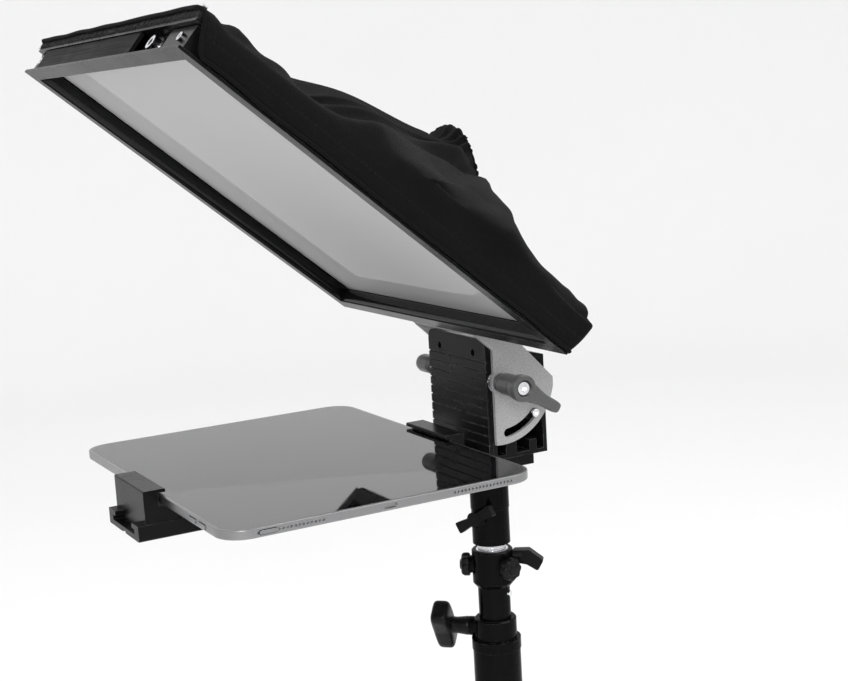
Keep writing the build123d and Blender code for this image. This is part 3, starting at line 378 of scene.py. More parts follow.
def twill_group():
    """Twill: diagonal ribs of a given pitch, each broken into threads by a second wave square to it."""
    web, given, out = new_group(
        "twill_weave",
        {"Vector": (VECTOR, None), "Pitch": (FLOAT, 0.0009)},
        {"Height": FLOAT, "Thread": FLOAT},
    )
    split = web.add("ShaderNodeSeparateXYZ")
    web.tree.links.new(given["Vector"], split.inputs[0])
    turns = web.maths("DIVIDE", TAU, given["Pitch"])
    u = web.maths("MULTIPLY", split.outputs["X"], turns)
    v = web.maths("MULTIPLY", split.outputs["Y"], turns)
    rib = web.maths("SINE", web.maths("ADD", u, v))
    thread = web.maths("SINE", web.maths("MULTIPLY", web.maths("SUBTRACT", u, v), 0.5))
    slub = web.add("ShaderNodeTexNoise")
    web.put(slub, Vector=given["Vector"], Scale=700.0, Detail=2.0)
    height = web.maths("ADD", web.maths("MULTIPLY", rib, 0.6), web.maths("MULTIPLY", thread, 0.4))
    web.tree.links.new(web.maths("ADD", height, slub.outputs["Fac"]), out["Height"])
    web.tree.links.new(web.ramp(rib, 0.0, 1.0, -1.0, 1.0), out["Thread"])
    return web.tree


def stitch_group():
    """Row of stitches at one distance along V: a dashed line, 1 on the thread and 0 off it."""
    web, given, out = new_group(
        "stitch_row",
        {"Vector": (VECTOR, None), "Line": (FLOAT, 0.009), "Length": (FLOAT, 0.0035)},
        {"Mask": FLOAT},
    )
    split = web.add("ShaderNodeSeparateXYZ")
    web.tree.links.new(given["Vector"], split.inputs[0])
    away = web.maths("ABSOLUTE", web.maths("SUBTRACT", split.outputs["Y"], given["Line"]))
    on_line = web.ramp(away, 1.0, 0.0, 0.0002, 0.0006)
    turns = web.maths("DIVIDE", web.maths("MULTIPLY", split.outputs["X"], TAU), given["Length"])
    dashes = web.ramp(web.maths("SINE", turns), 0.0, 1.0, -0.4, 0.0)
    web.tree.links.new(web.maths("MULTIPLY", on_line, dashes, clamp=True), out["Mask"])
    return web.tree


GROUP_MAKERS = {
    "fine_grain": grain_group,
    "edge_wear_and_highlight": edge_group,
    "settled_dust": dust_group,
    "drawn_lines": streak_group,
    "twill_weave": twill_group,
    "stitch_row": stitch_group,
}


def placed(web, name, **inputs):
    """A shader group placed in a material with its own values, built the first time it is asked for."""
    tree = bpy.data.node_groups.get(name) or GROUP_MAKERS[name]()
    node = web.add("ShaderNodeGroup", node_tree=tree)
    return web.put(node, **inputs).outputs


def new_material(name, colour):
    """Material with its shader and Object coordinates ready."""
    material = bpy.data.materials.new(name)
    material.use_nodes = True
    material.diffuse_color = (*colour[:3], 1.0)
    web = Web(material.node_tree)
    shader = material.node_tree.nodes["Principled BSDF"]
    where = web.add("ShaderNodeTexCoord").outputs["Object"]
    return material, web, shader, where


def rgba(colour):
    """Colour with alpha 1 added."""
    return (*colour[:3], 1.0)


def hard_finish(
    name,
    colour,
    rough=(0.3, 0.4),
    metal=0.0,
    grain=0.0006,
    patch=0.05,
    bump=0.05,
    depth=0.00005,
    shade=0.25,
    wear_and_painted_highlight=None,
    even=0.0,
    speckle=0.0,
    edge=0.0006,
    dust=0.08,
    lines=None,
    coat=0.0,
    coat_rough=0.08,
    specular=0.5,
):
    """Paint, plastic, rubber or metal: colour that drifts by shade and speckle, roughness between two values,
    fine bump, edges lightened for wear and for a painted highlight, settled dust and, where lines is given, drawn
    lines squeezed by that vector."""
    material, web, shader, where = new_material(name, colour)
    texture = placed(web, "fine_grain", Vector=where, Grain_Size=grain, Patch_Size=patch)
    dark = rgba([c * (1 - shade) for c in colour])
    light = rgba([c * (1 + shade) for c in colour])
    tone = web.blend(texture["Patch"], dark, light)
    if speckle:
        spots = web.ramp(texture["Grain"], 0.0, 1.0, 0.35, 0.65)
        tone = web.blend(web.maths("MULTIPLY", spots, speckle), tone, rgba([c * 0.25 for c in colour]))
    roughness = web.ramp(texture["Patch"], rough[0], rough[1], 0.3, 0.7)
    height = texture["Grain"]
    if lines is not None:
        drawn = placed(web, "drawn_lines", Vector=where, Across=lines)["Lines"]
        roughness = web.maths("ADD", roughness, web.ramp(drawn, -0.06, 0.06, 0.3, 0.7), clamp=True)
        height = web.maths("ADD", height, drawn)
    rounded = placed(web, "edge_wear_and_highlight", Vector=where, Radius=edge, Break_Up=0.004, Evenness=even)
    # edge colour: wear, and on the anodised pieces also a painted highlight where the edges catch light
    if wear_and_painted_highlight is not None:
        tone = web.blend(web.maths("MULTIPLY", rounded["Mask"], wear_and_painted_highlight[1]), tone, rgba(wear_and_painted_highlight[0]))
    if dust:
        settled = placed(web, "settled_dust", Vector=where, Patch_Size=0.015)["Mask"]
        tone = web.blend(web.maths("MULTIPLY", settled, dust), tone, (0.35, 0.34, 0.32, 1.0))
        roughness = web.maths("ADD", roughness, web.maths("MULTIPLY", settled, dust * 2), clamp=True)
    relief = web.add("ShaderNodeBump")
    web.put(relief, Strength=bump, Distance=depth, Height=height, Normal=rounded["Normal"])
    web.put(shader, Base_Color=tone, Roughness=roughness, Metallic=metal, Normal=relief.outputs["Normal"])
    shader.inputs["Specular IOR Level"].default_value = specular
    shader.inputs["Coat Weight"].default_value = coat
    shader.inputs["Coat Roughness"].default_value = coat_rough
    return material


def cloth_finish(name, colour, pitch, stitched):
    """Woven black cloth on the cloth UV map: twill relief, colour lighter in patches along the ribs' crests, lint
    and stitch rows.
    """
    material, web, shader, where = new_material(name, colour)
    uv = web.add("ShaderNodeUVMap", uv_map="cloth").outputs["UV"]
    weave = placed(web, "twill_weave", Vector=uv, Pitch=pitch)
    texture = placed(web, "fine_grain", Vector=where, Grain_Size=0.0035, Patch_Size=0.045)
    tone = web.blend(
        web.maths("MULTIPLY", weave["Thread"], texture["Patch"]),
        rgba([c * 0.75 for c in colour]),
        rgba([c * 1.9 for c in colour]),
    )
    dust = placed(web, "settled_dust", Vector=where, Patch_Size=0.008)["Mask"]
    tone = web.blend(web.maths("MULTIPLY", dust, 0.008), tone, (0.3, 0.29, 0.28, 1.0))
    height = weave["Height"]
    for line in stitched:
        thread = placed(web, "stitch_row", Vector=uv, Line=line, Length=0.0035)["Mask"]
        tone = web.blend(web.maths("MULTIPLY", thread, 0.3), tone, rgba([c * 3 for c in colour]))
        height = web.maths("ADD", height, web.maths("MULTIPLY", thread, 2.0))
    creases = web.add("ShaderNodeBump")
    web.put(creases, Strength=0.35, Distance=0.0012, Height=texture["Grain"])
    relief = web.add("ShaderNodeBump")
    web.put(relief, Strength=0.5, Distance=0.00025, Height=height, Normal=creases.outputs["Normal"])
    web.put(shader, Base_Color=tone, Roughness=web.ramp(texture["Patch"], 0.78, 0.95))
    web.put(shader, Normal=relief.outputs["Normal"])
    shader.inputs["Sheen Weight"].default_value = 0.02
    shader.inputs["Sheen Roughness"].default_value = 0.35
    shader.inputs["Specular IOR Level"].default_value = 0.06
    return material


def splitter_finish(name, colour, mirror_share, smear):
    """Coated glass: part mirror, part clear, with faint wiping smears in its roughness."""
    material, web, shader, where = new_material(name, colour)
    streaks = placed(web, "drawn_lines", Vector=where, Across=(30.0, 6.0, 8.0))["Lines"]
    texture = placed(web, "fine_grain", Vector=where, Grain_Size=0.002, Patch_Size=0.09)
    smears = web.maths("MULTIPLY", streaks, texture["Patch"])
    web.put(shader, Roughness=web.ramp(smears, 0.0, smear, 0.15, 0.45))
    web.put(shader, Base_Color=web.blend(texture["Patch"], rgba([c * 0.97 for c in colour]), rgba(colour)))
    shader.inputs["Metallic"].default_value = mirror_share
    shader.inputs["Transmission Weight"].default_value = 0.1
    shader.inputs["IOR"].default_value = 1.5
    shader.inputs["Specular IOR Level"].default_value = 0.0
    return material


def screen_finish(name, colour, display, half_size, centre):
    """Tablet cover glass: gloss black border with a slightly lighter display, and finger smears."""
    material, web, shader, where = new_material(name, colour)
    split = web.add("ShaderNodeSeparateXYZ")
    web.tree.links.new(where, split.inputs[0])
    inside = None
    for label, half, middle in (("X", half_size[0], centre[0]), ("Y", half_size[1], centre[1])):
        away = web.maths("ABSOLUTE", web.maths("SUBTRACT", split.outputs[label], middle))
        side = web.ramp(away, 1.0, 0.0, half - 0.0002, half + 0.0002)
        inside = side if inside is None else web.maths("MULTIPLY", inside, side)
    texture = placed(web, "fine_grain", Vector=where, Grain_Size=0.003, Patch_Size=0.04)
    web.put(shader, Base_Color=web.blend(inside, rgba(colour), rgba(display)))
    web.put(shader, Roughness=web.ramp(texture["Patch"], 0.015, 0.06, 0.4, 0.75))
    shader.inputs["Specular IOR Level"].default_value = 0.95
    return material


def pile_finish(name, colour):
    """Fuzzy hook-and-loop pile: rough, with lighter tips by height noise."""
    material, web, shader, where = new_material(name, colour)
    texture = placed(web, "fine_grain", Vector=where, Grain_Size=0.0008, Patch_Size=0.006)
    tone = web.blend(texture["Grain"], rgba([c * 0.5 for c in colour]), rgba([c * 2.2 for c in colour]))
    relief = web.add("ShaderNodeBump")
    web.put(relief, Strength=0.8, Distance=0.0005, Height=texture["Grain"])
    web.put(shader, Base_Color=tone, Roughness=web.ramp(texture["Patch"], 0.8, 1.0))
    web.put(shader, Normal=relief.outputs["Normal"])
    shader.inputs["Sheen Weight"].default_value = 0.06
    shader.inputs["Specular IOR Level"].default_value = 0.15
    return material


# ---------------------------------------------------------------- settings


def metres(name, description, default):
    """Length setting, in metres."""
    return FloatProperty(name=name, description=description, default=default, unit="LENGTH")


def degrees(name, description, default):
    """Angle setting, given in degrees."""
    return FloatProperty(name=name, description=description, default=math.radians(default), subtype="ANGLE")


def tint(name, description, *default):
    """Colour setting."""
    return FloatVectorProperty(name=name, description=description, default=default, subtype="COLOR")


class HoodSettings(PropertyGroup):
    """Sizes of the cloth hood."""

    tilt: degrees("Mirror tilt", "Glass above the horizontal", 39.5)
    width: metres("Frame width", "Outside width of the mirror frame", 0.315)
    length: metres("Frame length", "Outside length of the mirror frame up the slope", 0.311)
    depth: metres("Frame depth", "Front face to rear face of the frame", 0.020)
    hem: metres("Hem start", "Hem's front edge behind the frame's front face", 0.0032)
    clearance: metres("Clearance", "Cloth outside the frame's side", 0.0022)
    sag: metres("Sag", "How far the top panel hangs in", 0.042)
    bulge: metres("Bulge", "How far the side panels stand out", 0.026)
    belly: metres("Belly", "How far the bottom panel hangs out", 0.004)
    fold: metres("Folds", "Height of the soft folds", 0.0075)
    gathers: IntProperty(name="Gathers", description="Pleats around the lens cuff", default=27, min=8)
    thickness: metres("Cloth thickness", "Thickness of the cloth", 0.0011)
    pitch: metres("Twill pitch", "Distance between the diagonal ribs", 0.0011)
    columns: IntProperty(name="Columns", description="Grid columns around the hood", default=400, min=80)
    seed: IntProperty(name="Seed", description="Seed of the folds", default=11)


class StageSettings(PropertyGroup):
    """Camera, floor and lights."""

    eye: FloatVectorProperty(
        name="Camera", description="Camera position", default=(0.9119, -0.4550, 1.1412), subtype="TRANSLATION"
    )
    azimuth: degrees("Azimuth", "Camera direction, from -Y towards +X", 61.16)
    elevation: degrees("Elevation", "Camera height above the horizon", 9.43)
    roll: degrees("Roll", "How far the camera's right side dips", 3.28)
    lens: FloatProperty(name="Lens", description="Focal length in millimetres, full frame", default=62.62)
    floor: metres("Floor radius", "Flat part of the floor", 5.0)
    sky: FloatProperty(name="Sky", description="Brightness of the surrounding white", default=1.0)
    key: FloatProperty(name="Key light", description="Power of the key light, in watts", default=60.0)


class FinishSettings(PropertyGroup):
    """Colours of the finishes."""

    enamel: tint("Stand enamel", "Gloss black of the stand", 0.0022, 0.0022, 0.0024)
    anodised: tint("Anodising", "Satin black of the extrusions", 0.0045, 0.0045, 0.0048)
    powder: tint("Powder coat", "Grey of the yoke", 0.31, 0.31, 0.31)
    plastic: tint("Black plastic", "Knobs", 0.0045, 0.0045, 0.0048)
    lever: tint("Grey plastic", "Tilt lever and knob", 0.060, 0.060, 0.061)
    steel: tint("Bright steel", "Bolts, screws and spigot", 0.74, 0.74, 0.76)
    cloth: tint("Hood cloth", "Black of the hood", 0.0042, 0.0042, 0.0045)
    pile: tint("Hook pile", "Black of the fuzzy rim", 0.009, 0.009, 0.0095)
    tablet: tint("Tablet metal", "Blasted aluminium of the tablet", 0.27, 0.27, 0.275)
    glass: tint("Splitter glass", "Tint of the coated glass", 0.52, 0.52, 0.52)


def finish_piece(piece, material, body, slot, *replaced):
    """Gives a new piece its material and its body, and hides the nodes it stands for. The slot argument is not
    used.
    """
    piece.data.materials.clear()
    piece.data.materials.append(material)
    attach(piece, body)
    if replaced:
        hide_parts(*replaced)


# ---------------------------------------------------------------- the hood


def frame_axes(s):
    """Middle of the mirror frame's front face, its up-slope direction and its rearward direction."""
    low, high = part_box("frame_rail_bottom")
    up = np.array([0.0, -math.cos(s.tilt), math.sin(s.tilt)])
    back = np.array([0.0, math.sin(s.tilt), math.cos(s.tilt)])
    bottom = np.array([0.0, high.y - s.depth * math.sin(s.tilt), low.z])
    return bottom + up * s.length / 2, up, back


def rounded_outline(half_width, half_length, radius, columns):
    """Points around a rounded rectangle at even steps of its length, from the middle of its lower side to
    the right, and the distance of each; the corners are quarter circles."""
    quarter = np.linspace(0, math.pi / 2, 9)
    corners = []
    for turn, (sx, sy) in enumerate(((1, -1), (1, 1), (-1, 1), (-1, -1))):
        angle = quarter - math.pi / 2 + turn * math.pi / 2
        middle = np.array([sx * (half_width - radius), sy * (half_length - radius)])
        corners.append(middle + radius * np.stack([np.cos(angle), np.sin(angle)], -1))
    line = np.concatenate([[[0, -half_length]], *corners, [[0, -half_length]]])
    run = np.concatenate([[0], np.cumsum(np.linalg.norm(np.diff(line, axis=0), axis=1))])
    at = np.linspace(0, run[-1], columns, endpoint=False)
    marks = [run[1 + 9 * k + 4] for k in range(4)]
    return np.stack([np.interp(at, run, line[:, 0]), np.interp(at, run, line[:, 1])], -1), at, run[-1], marks


def waves(around, along, turns, drift, seed):
    """Smooth field that closes around the loop: a sum of cosines of turns times around plus a drift along."""
    draw = np.random.default_rng(seed)
    total = 0.0
    for turn in turns:
        phase, lean, weight = draw.uniform(0, TAU), draw.uniform(-drift, drift), draw.uniform(0.5, 1.0)
        total = total + weight * np.cos(TAU * turn * around + lean * along + phase)
    return total / math.sqrt(len(turns))


# start around the hem, drift towards the cuff, width (shares of the hem's length) and height in metres
LONG_FOLDS = (
    (0.285, 0.030, 0.010, 0.0060),
    (0.318, -0.035, 0.012, -0.0060),
    (0.345, 0.015, 0.009, 0.0055),
    (0.235, 0.045, 0.014, -0.0055),
    (0.200, 0.030, 0.012, 0.0045),
    (0.430, -0.020, 0.012, 0.0050),
    (0.560, 0.030, 0.014, -0.0055),
    (0.690, -0.030, 0.012, 0.0060),
    (0.760, 0.020, 0.010, -0.0050),
    (0.840, 0.030, 0.012, 0.0050),
)


# rows of the hood's grid: on the frame's side, from the frame to the cuff, and along the cuff
HEM_ROWS, BODY_ROWS, CUFF_ROWS = 10, 77, 11
CORNER_RADIUS = 0.007  # of the cloth around the frame's corners
LATE_HEM = 0.0255  # hem's front edge behind the frame's front face at the top and around the yoke
REAR_TURN = 0.0262  # where the cloth leaves the frame's side, behind its front face
CUFF_WALL = 0.0032  # cuff's outside radius less the radius its pleats swing about
PIPING_RADIUS = 0.0013
PIPING_SIDES = 12


def steps(count):
    """Column of even shares from just above 0 up to 1."""
    return np.linspace(0, 1, count + 1)[1:, None]


def lens_ring():
    """Centre of the lens cuff's front edge, the cuff's radius and its length."""
    low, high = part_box("hood_cuff")
    centre = np.array([0.0, low.y, (low.z + high.z) / 2])
    return centre, (high.x - low.x) / 2 - CUFF_WALL, high.y - low.y


def hem_cells(s, outline, around):
    """Cloth on the frame's side: rows of the outline from the hem's front edge to the rear turn, pushed out
    by fine waves and by a slack swell that is a sine of the row. The hem starts late at the top and yoke."""
    centre, up, back = frame_axes(s)
    half_w, half_l = s.width / 2 + s.clearance, s.length / 2 + s.clearance
    x, slope = outline[:, 0], outline[:, 1]
    row = np.linspace(0, 1, HEM_ROWS)[:, None]
    top = smooth((slope - (half_l - 0.016)) / 0.014)
    yoke = smooth((0.105 - np.abs(x)) / 0.045) * (slope < 0) * smooth((-slope - half_l + 0.01) / 0.008)
    front = s.hem + (LATE_HEM - s.hem) * np.maximum(top, yoke)
    front = front + 0.0005 * waves(around, 0.0, range(9, 26), 0.0, s.seed)
    depth = front + (REAR_TURN - front) * row
    ripple = 0.0007 * waves(around, 3 * row, range(5, 18), 1.0, s.seed + 1) * row
    lower = smooth((-slope - half_l + 0.012) / 0.01)
    left = (x < -half_w + CORNER_RADIUS) * smooth((half_l - 0.004 - np.abs(slope)) / 0.05)
    swell = 0.0035 * lower * (1 - yoke) + 0.0014 + 0.024 * left
    swell = swell * np.sin(0.62 * math.pi * row)
    across = x / half_w * (np.abs(x) > half_w - CORNER_RADIUS)
    upward = slope / half_l * (np.abs(slope) > half_l - CORNER_RADIUS)
    flat = outline[None] + (ripple + swell)[..., None] * unit(np.stack([across, upward], -1))[None]
    return centre + flat[..., :1] * RIGHT + flat[..., 1:] * up + depth[..., None] * back


def body_cells(s, start, angle):
    """Cloth between the frame and the cuff: straight lines from the start row to the same angle of the cuff,
    moved off the middle line by a bow times (4w(1-w))^0.7, where w is the share of the way. The bow is out at
    the sides, in at the top, and slightly out below; a small puff fills the sides next to the frame."""
    centre, _, back = frame_axes(s)
    ring_centre, radius, _ = lens_ring()
    w = steps(BODY_ROWS)
    ring = ring_centre + radius * np.stack([np.cos(angle), 0 * angle, np.sin(angle)], -1)
    cells = start[None] * (1 - w[..., None]) + ring[None] * w[..., None]
    middle = centre + back * REAR_TURN
    spine = middle + (ring_centre - middle) * w[..., None]
    side, above, below = np.cos(angle) ** 2, np.maximum(np.sin(angle), 0), np.maximum(-np.sin(angle), 0)
    bow = s.bulge * side * (1 - 0.8 * above) * (1 + 0.5 * below) - s.sag * above**0.5 + s.belly * below
    puff = 0.004 * side**3 * (1 - above) * np.sin(math.pi * np.clip(w / 0.4, 0, 1)) ** 0.8
    return cells + (bow * (4 * w * (1 - w)) ** 0.7 + puff)[..., None] * unit(cells - spine)


def eased(cells, row, width=5.0, passes=30):
    """Rows near one row, moved half way to the mean of their neighbours in each pass: a soft turn."""
    near = bell(np.arange(len(cells)) - row, width)[1:-1, None, None]
    for _ in range(passes):
        mean = (cells[:-2] + cells[2:]) / 2
        cells[1:-1] = cells[1:-1] * (1 - 0.5 * near) + mean * 0.5 * near
    return cells


def cuff_cells(angle):
    """Tube around the lens: its radius swells by a sine of the row, and it is short on the right."""
    centre, radius, length = lens_ring()
    row = steps(CUFF_ROWS)
    r = radius + 0.0014 * np.sin(math.pi * np.clip(row * 1.15, 0, 1)) - 0.0006
    circle = np.stack([np.cos(angle), 0 * angle, np.sin(angle)], -1)
    reach = (length - 0.001) * (0.5 - 0.4 * np.cos(angle))
    return centre + r[..., None] * circle[None] + (row * reach[None])[..., None] * REARWARD


def corner_slack(along, from_top, from_low):
    """Loose cloth at the right corners, each a bell along the rows times a bell around the hem: a hump and a
    wide hollow at the top one, and a tuck at the low one."""
    hump = 0.0075 * bell(along - 0.085, 0.035) * bell(from_top, 0.022)
    hollow = 0.0200 * bell(along - 0.24, 0.15) * bell(from_top, 0.060) * (along > 0)
    tuck = 0.0100 * bell(along - 0.10, 0.10) * bell(from_low, 0.035) * smooth(along / 0.08)
    return hump - hollow - tuck


def fold_heights(s, at, total, marks, angle, along, past):
    """Height of the folds over the smooth shape. Along is the share of the way to the cuff and past the share
    of the way down the cuff. Sums broad waves, ridges 1 - |wave|, fine wrinkles, pleats that grow towards the
    cuff, a ridge from each corner, the long folds and the slack at the right corners."""
    around = at / total
    grow = smooth(along / 0.22) * (1 - smooth((along - 0.82) / 0.18))
    broad = waves(around, along, (2, 3, 4, 5, 7), 5.0, s.seed + 2)
    ridged = 1 - np.abs(waves(around, along, (5, 7, 9, 11), 7.0, s.seed + 3))
    fine = waves(around, along, (17, 21, 26, 31, 37), 9.0, s.seed + 4)
    wander = waves(around, along, (2, 3, 5, 8), 2.0, s.seed + 5)
    strength = 0.6 + 0.4 * waves(around, along, (3, 4, 6), 1.0, s.seed + 6)
    pleat = np.cos(s.gathers * angle + 2.6 * wander) * strength
    folds = s.fold * grow * (0.55 * broad + 0.45 * ridged) + 0.0010 * grow * fine
    folds = folds + 0.0013 * smooth((along - 0.5) / 0.45) * (1 - 0.4 * past) * pleat
    for mark in marks:
        gap = np.minimum(np.abs(at - mark), total - np.abs(at - mark))
        folds = folds + 0.0014 * bell(gap, 0.0035) * grow
    fade = smooth(along / 0.12) * (1 - smooth((along - 0.85) / 0.15))
    for start, drift, width, height in LONG_FOLDS:
        gap = (around - start - drift * along + 0.5) % 1.0 - 0.5
        folds = folds + height * bell(gap, width) * fade
    return folds + corner_slack(along, np.abs(at - marks[1]), np.abs(at - marks[0]))


def hood_grid(s):
    """Hood surface on a grid, with the distances along its columns and rows. Rows run from the hem's front
    edge along the frame's side, then to the lens cuff and along it; the folds move each point along the
    normal, which is the cross product of the steps to its neighbours, turned away from the middle line."""
    centre, _, back = frame_axes(s)
    half_w, half_l = s.width / 2 + s.clearance, s.length / 2 + s.clearance
    outline, at, total, marks = rounded_outline(half_w, half_l, CORNER_RADIUS, s.columns)
    angle = np.interp(at, [0, *marks, total], np.radians([-90, -45, 45, 135, 225, 270]))
    hem = hem_cells(s, outline, at / total)
    sides = eased(np.concatenate([hem, body_cells(s, hem[-1], angle)]), HEM_ROWS)
    cells = np.concatenate([sides, cuff_cells(angle)])
    along = np.concatenate([np.zeros((HEM_ROWS, 1)), steps(BODY_ROWS), np.ones((CUFF_ROWS, 1))])
    past = np.concatenate([np.zeros((HEM_ROWS + BODY_ROWS, 1)), steps(CUFF_ROWS)])
    across = np.roll(cells, -1, axis=1) - np.roll(cells, 1, axis=1)
    normal = unit(np.cross(across, np.gradient(cells, axis=0)))
    middle = centre + back * REAR_TURN
    radial = cells - (middle + (lens_ring()[0] - middle) * along[..., None])
    normal = normal * np.sign((normal * radial).sum(-1, keepdims=True) + 1e-9)
    cells = cells + fold_heights(s, at, total, marks, angle, along, past)[..., None] * normal
    gaps = np.linalg.norm(np.diff(cells, axis=0), axis=-1).mean(axis=1)
    return cells, np.append(at, total), np.concatenate([[0], np.cumsum(gaps)])


def face_away(mesh, middle):
    """Flips a mesh whose faces look, on the whole, towards the middle."""
    centres, normals = np.empty((2, len(mesh.polygons) * 3))
    mesh.polygons.foreach_get("center", centres)
    mesh.polygons.foreach_get("normal", normals)
    if ((centres.reshape(-1, 3) - middle) * normals.reshape(-1, 3)).sum() < 0:
        mesh.flip_normals()


def hem_piping(edge, run):
    """Round cord along a closed edge: a circle square to the edge at each of its points."""
    ahead = unit(np.roll(edge, -1, axis=0) - np.roll(edge, 1, axis=0))
    outward = unit(edge - edge.mean(axis=0))
    outward = unit(outward - ahead * (outward * ahead).sum(-1, keepdims=True))
    aside = np.cross(ahead, outward)
    angle = (np.arange(PIPING_SIDES) * TAU / PIPING_SIDES)[None, :, None]
    spokes = np.cos(angle) * outward[:, None] + np.sin(angle) * aside[:, None]
    rings = edge[:, None] + PIPING_RADIUS * spokes
    loop = np.concatenate([rings, rings[:1]])
    around = np.arange(PIPING_SIDES + 1) * PIPING_RADIUS * TAU / PIPING_SIDES
    faces = grid_faces(len(loop), PIPING_SIDES, True)
    piping = make_mesh("hood_piping", loop.reshape(-1, 3), faces, grid_uv(around, run))
    tidy_normals(piping)
    return piping


def build_hood(s):
    """The hood's sheet, its piped hem, and the area of its cloth."""
    cells, u, v = hood_grid(s)
    points = cells.reshape(-1, 3)
    faces = grid_faces(*cells.shape[:2], True)
    hood = make_mesh("hood", points, faces, grid_uv(u, v))
    face_away(hood.data, points.mean(axis=0))
    corners = points[faces]
    diagonals = corners[:, 2] - corners[:, 0], corners[:, 3] - corners[:, 1]
    area = 0.5 * np.linalg.norm(np.cross(*diagonals), axis=1).sum()
    wall = hood.modifiers.new("cloth thickness", "SOLIDIFY")
    wall.thickness = s.thickness
    wall.offset = -1.0
    return hood, hem_piping(cells[0], u), float(area)


class TELEPROMPTER_OT_hood(Operator):
    """Build the sewn cloth hood with its piped hem and gathered lens cuff"""

    bl_idname = "teleprompter.hood"
    bl_label = "Hood"

    def execute(self, context):
        s = context.scene.teleprompter_hood
        look = context.scene.teleprompter_finish
        hood, piping, area = build_hood(s)
        panels = ("hood_top", "hood_bottom", "hood_left", "hood_right", "hood_cuff")
        twill = cloth_finish("hood_cloth_twill", look.cloth, s.pitch, (0.0085,))
        finish_piece(hood, twill, "mirror", "hood_cloth", *panels)
        fine_twill = cloth_finish("hood_piping_cloth", look.cloth, s.pitch * 0.8, ())
        finish_piece(piping, fine_twill, "mirror", "hood_cloth")
        return {"FINISHED"}


# ---------------------------------------------------------------- fuzzy rim and frame lip

FIBRES = 5200
FIBRE_RADIUS = 0.00011
# corners of a fibre's four faces: its root is a triangle 0, 1, 2 and its tip is 3
FIBRE_FACES = np.array([[0, 1, 3], [1, 2, 3], [2, 0, 3], [0, 2, 1]])


def rim_pile(s):
    """Hook-and-loop rim: a rounded strip along the frame's top rear edge with short loose fibres. The
    strip's section is half a squared ellipse; each fibre is a thin triangular spike with a seeded lean."""
    centre, up, back = frame_axes(s)
    low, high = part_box("hook_strip")
    half_w = (high.x - low.x) / 2
    columns, rows = 260, 15
    x = np.linspace(-half_w, half_w, columns)
    turn = np.linspace(-0.15, math.pi + 0.15, rows)
    c, d = power_wave(turn, 0.55)
    rough = waves(x[None] * 3.2, turn[:, None], (23, 31, 41, 53, 67), 6.0, s.seed + 21)
    reach = 0.0034 * c[:, None] * (1 + 0.05 * rough)
    lift = np.maximum(d, 0)[:, None] * (0.0026 + 0.00055 * rough)
    base = centre + up * (s.length / 2 - 0.0022) + back * (s.depth + 0.0036)
    cells = base + x[None, :, None] * RIGHT + lift[..., None] * up + reach[..., None] * back
    strip = closed_piece("rim_strip", np.concatenate([cells, cells[:1]]).transpose(1, 0, 2))
    draw = np.random.default_rng(s.seed + 20)
    column, row = draw.integers(0, columns, FIBRES), draw.integers(1, rows - 1, FIBRES)
    root = cells[row, column] + draw.normal(0, 0.0002, (FIBRES, 3))
    away = up * np.maximum(d[row], 0.2)[:, None] + back * c[row][:, None]
    lean = unit(away + draw.normal(0, 0.65, (FIBRES, 3)))
    tip = root + lean * draw.uniform(0.0007, 0.0022, FIBRES)[:, None]
    wide = unit(np.cross(lean, draw.normal(0, 1, (FIBRES, 3))))
    deep = np.cross(wide, lean) * FIBRE_RADIUS
    wide = wide * FIBRE_RADIUS
    points = np.stack([root - wide, root + wide, root + deep, tip], 1).reshape(-1, 3)
    faces = (np.arange(FIBRES)[:, None, None] * 4 + FIBRE_FACES).reshape(-1, 3)
    return join("hook_rim_pile", [strip, make_mesh("rim_fibres", points, faces)])


class TELEPROMPTER_OT_rim(Operator):
    """Build the fuzzy hook-and-loop rim that holds the hood on the frame"""

    bl_idname = "teleprompter.rim"
    bl_label = "Fuzzy rim"

    def execute(self, context):
        fuzz = pile_finish("hook_pile_fuzz", context.scene.teleprompter_finish.pile)
        rim = rim_pile(context.scene.teleprompter_hood)
        finish_piece(rim, fuzz, "mirror", "hook_pile", "hook_strip")
        return {"FINISHED"}


# the lip's middle and half size, in from the frame's outside and back from its front face
LIP_INSET, LIP_HALF_INSET = 0.0101, 0.0019
LIP_DEPTH, LIP_HALF_DEPTH = 0.0062, 0.0052


def lip_side(s, turn):
    """Bead along one inner side of the frame: an ellipse in inset and depth whose ends are mitred, because
    each of its lines stops at its own inset from the corner. Turns 0 to 3 are right, top, left and bottom."""
    centre, up, back = frame_axes(s)
    along, across = (RIGHT, up) if turn % 2 else (up, RIGHT)
    half_along, half_across = (s.width / 2, s.length / 2) if turn % 2 else (s.length / 2, s.width / 2)
    sign = 1 if turn < 2 else -1
    angle = np.arange(28) * TAU / 28
    inset = LIP_INSET + LIP_HALF_INSET * np.cos(angle)
    depth = LIP_DEPTH + LIP_HALF_DEPTH * np.sin(angle)
    at = np.linspace(-1, 1, 40)[:, None] * (half_along - inset)[None]
    section = (sign * (half_across - inset))[:, None] * across + depth[:, None] * back
    return closed_piece(f"lip_{turn}", centre + at[..., None] * along + section[None])


class TELEPROMPTER_OT_lips(Operator):
    """Build the rounded glossy lip along the frame's inner walls"""

    bl_idname = "teleprompter.lips"
    bl_label = "Frame lips"

    def execute(self, context):
        s = context.scene.teleprompter_hood
        look = context.scene.teleprompter_finish
        gloss = hard_finish(
            "lip_gloss", look.anodised, (0.1, 0.16), bump=0.04, edge=0.0003, dust=0.004, specular=0.22
        )
        lips = join("frame_inner_lip", [lip_side(s, turn) for turn in range(4)])
        finish_piece(lips, gloss, "mirror", "black_anodised")
        return {"FINISHED"}


# ---------------------------------------------------------------- knobs, levers and the knurled ring

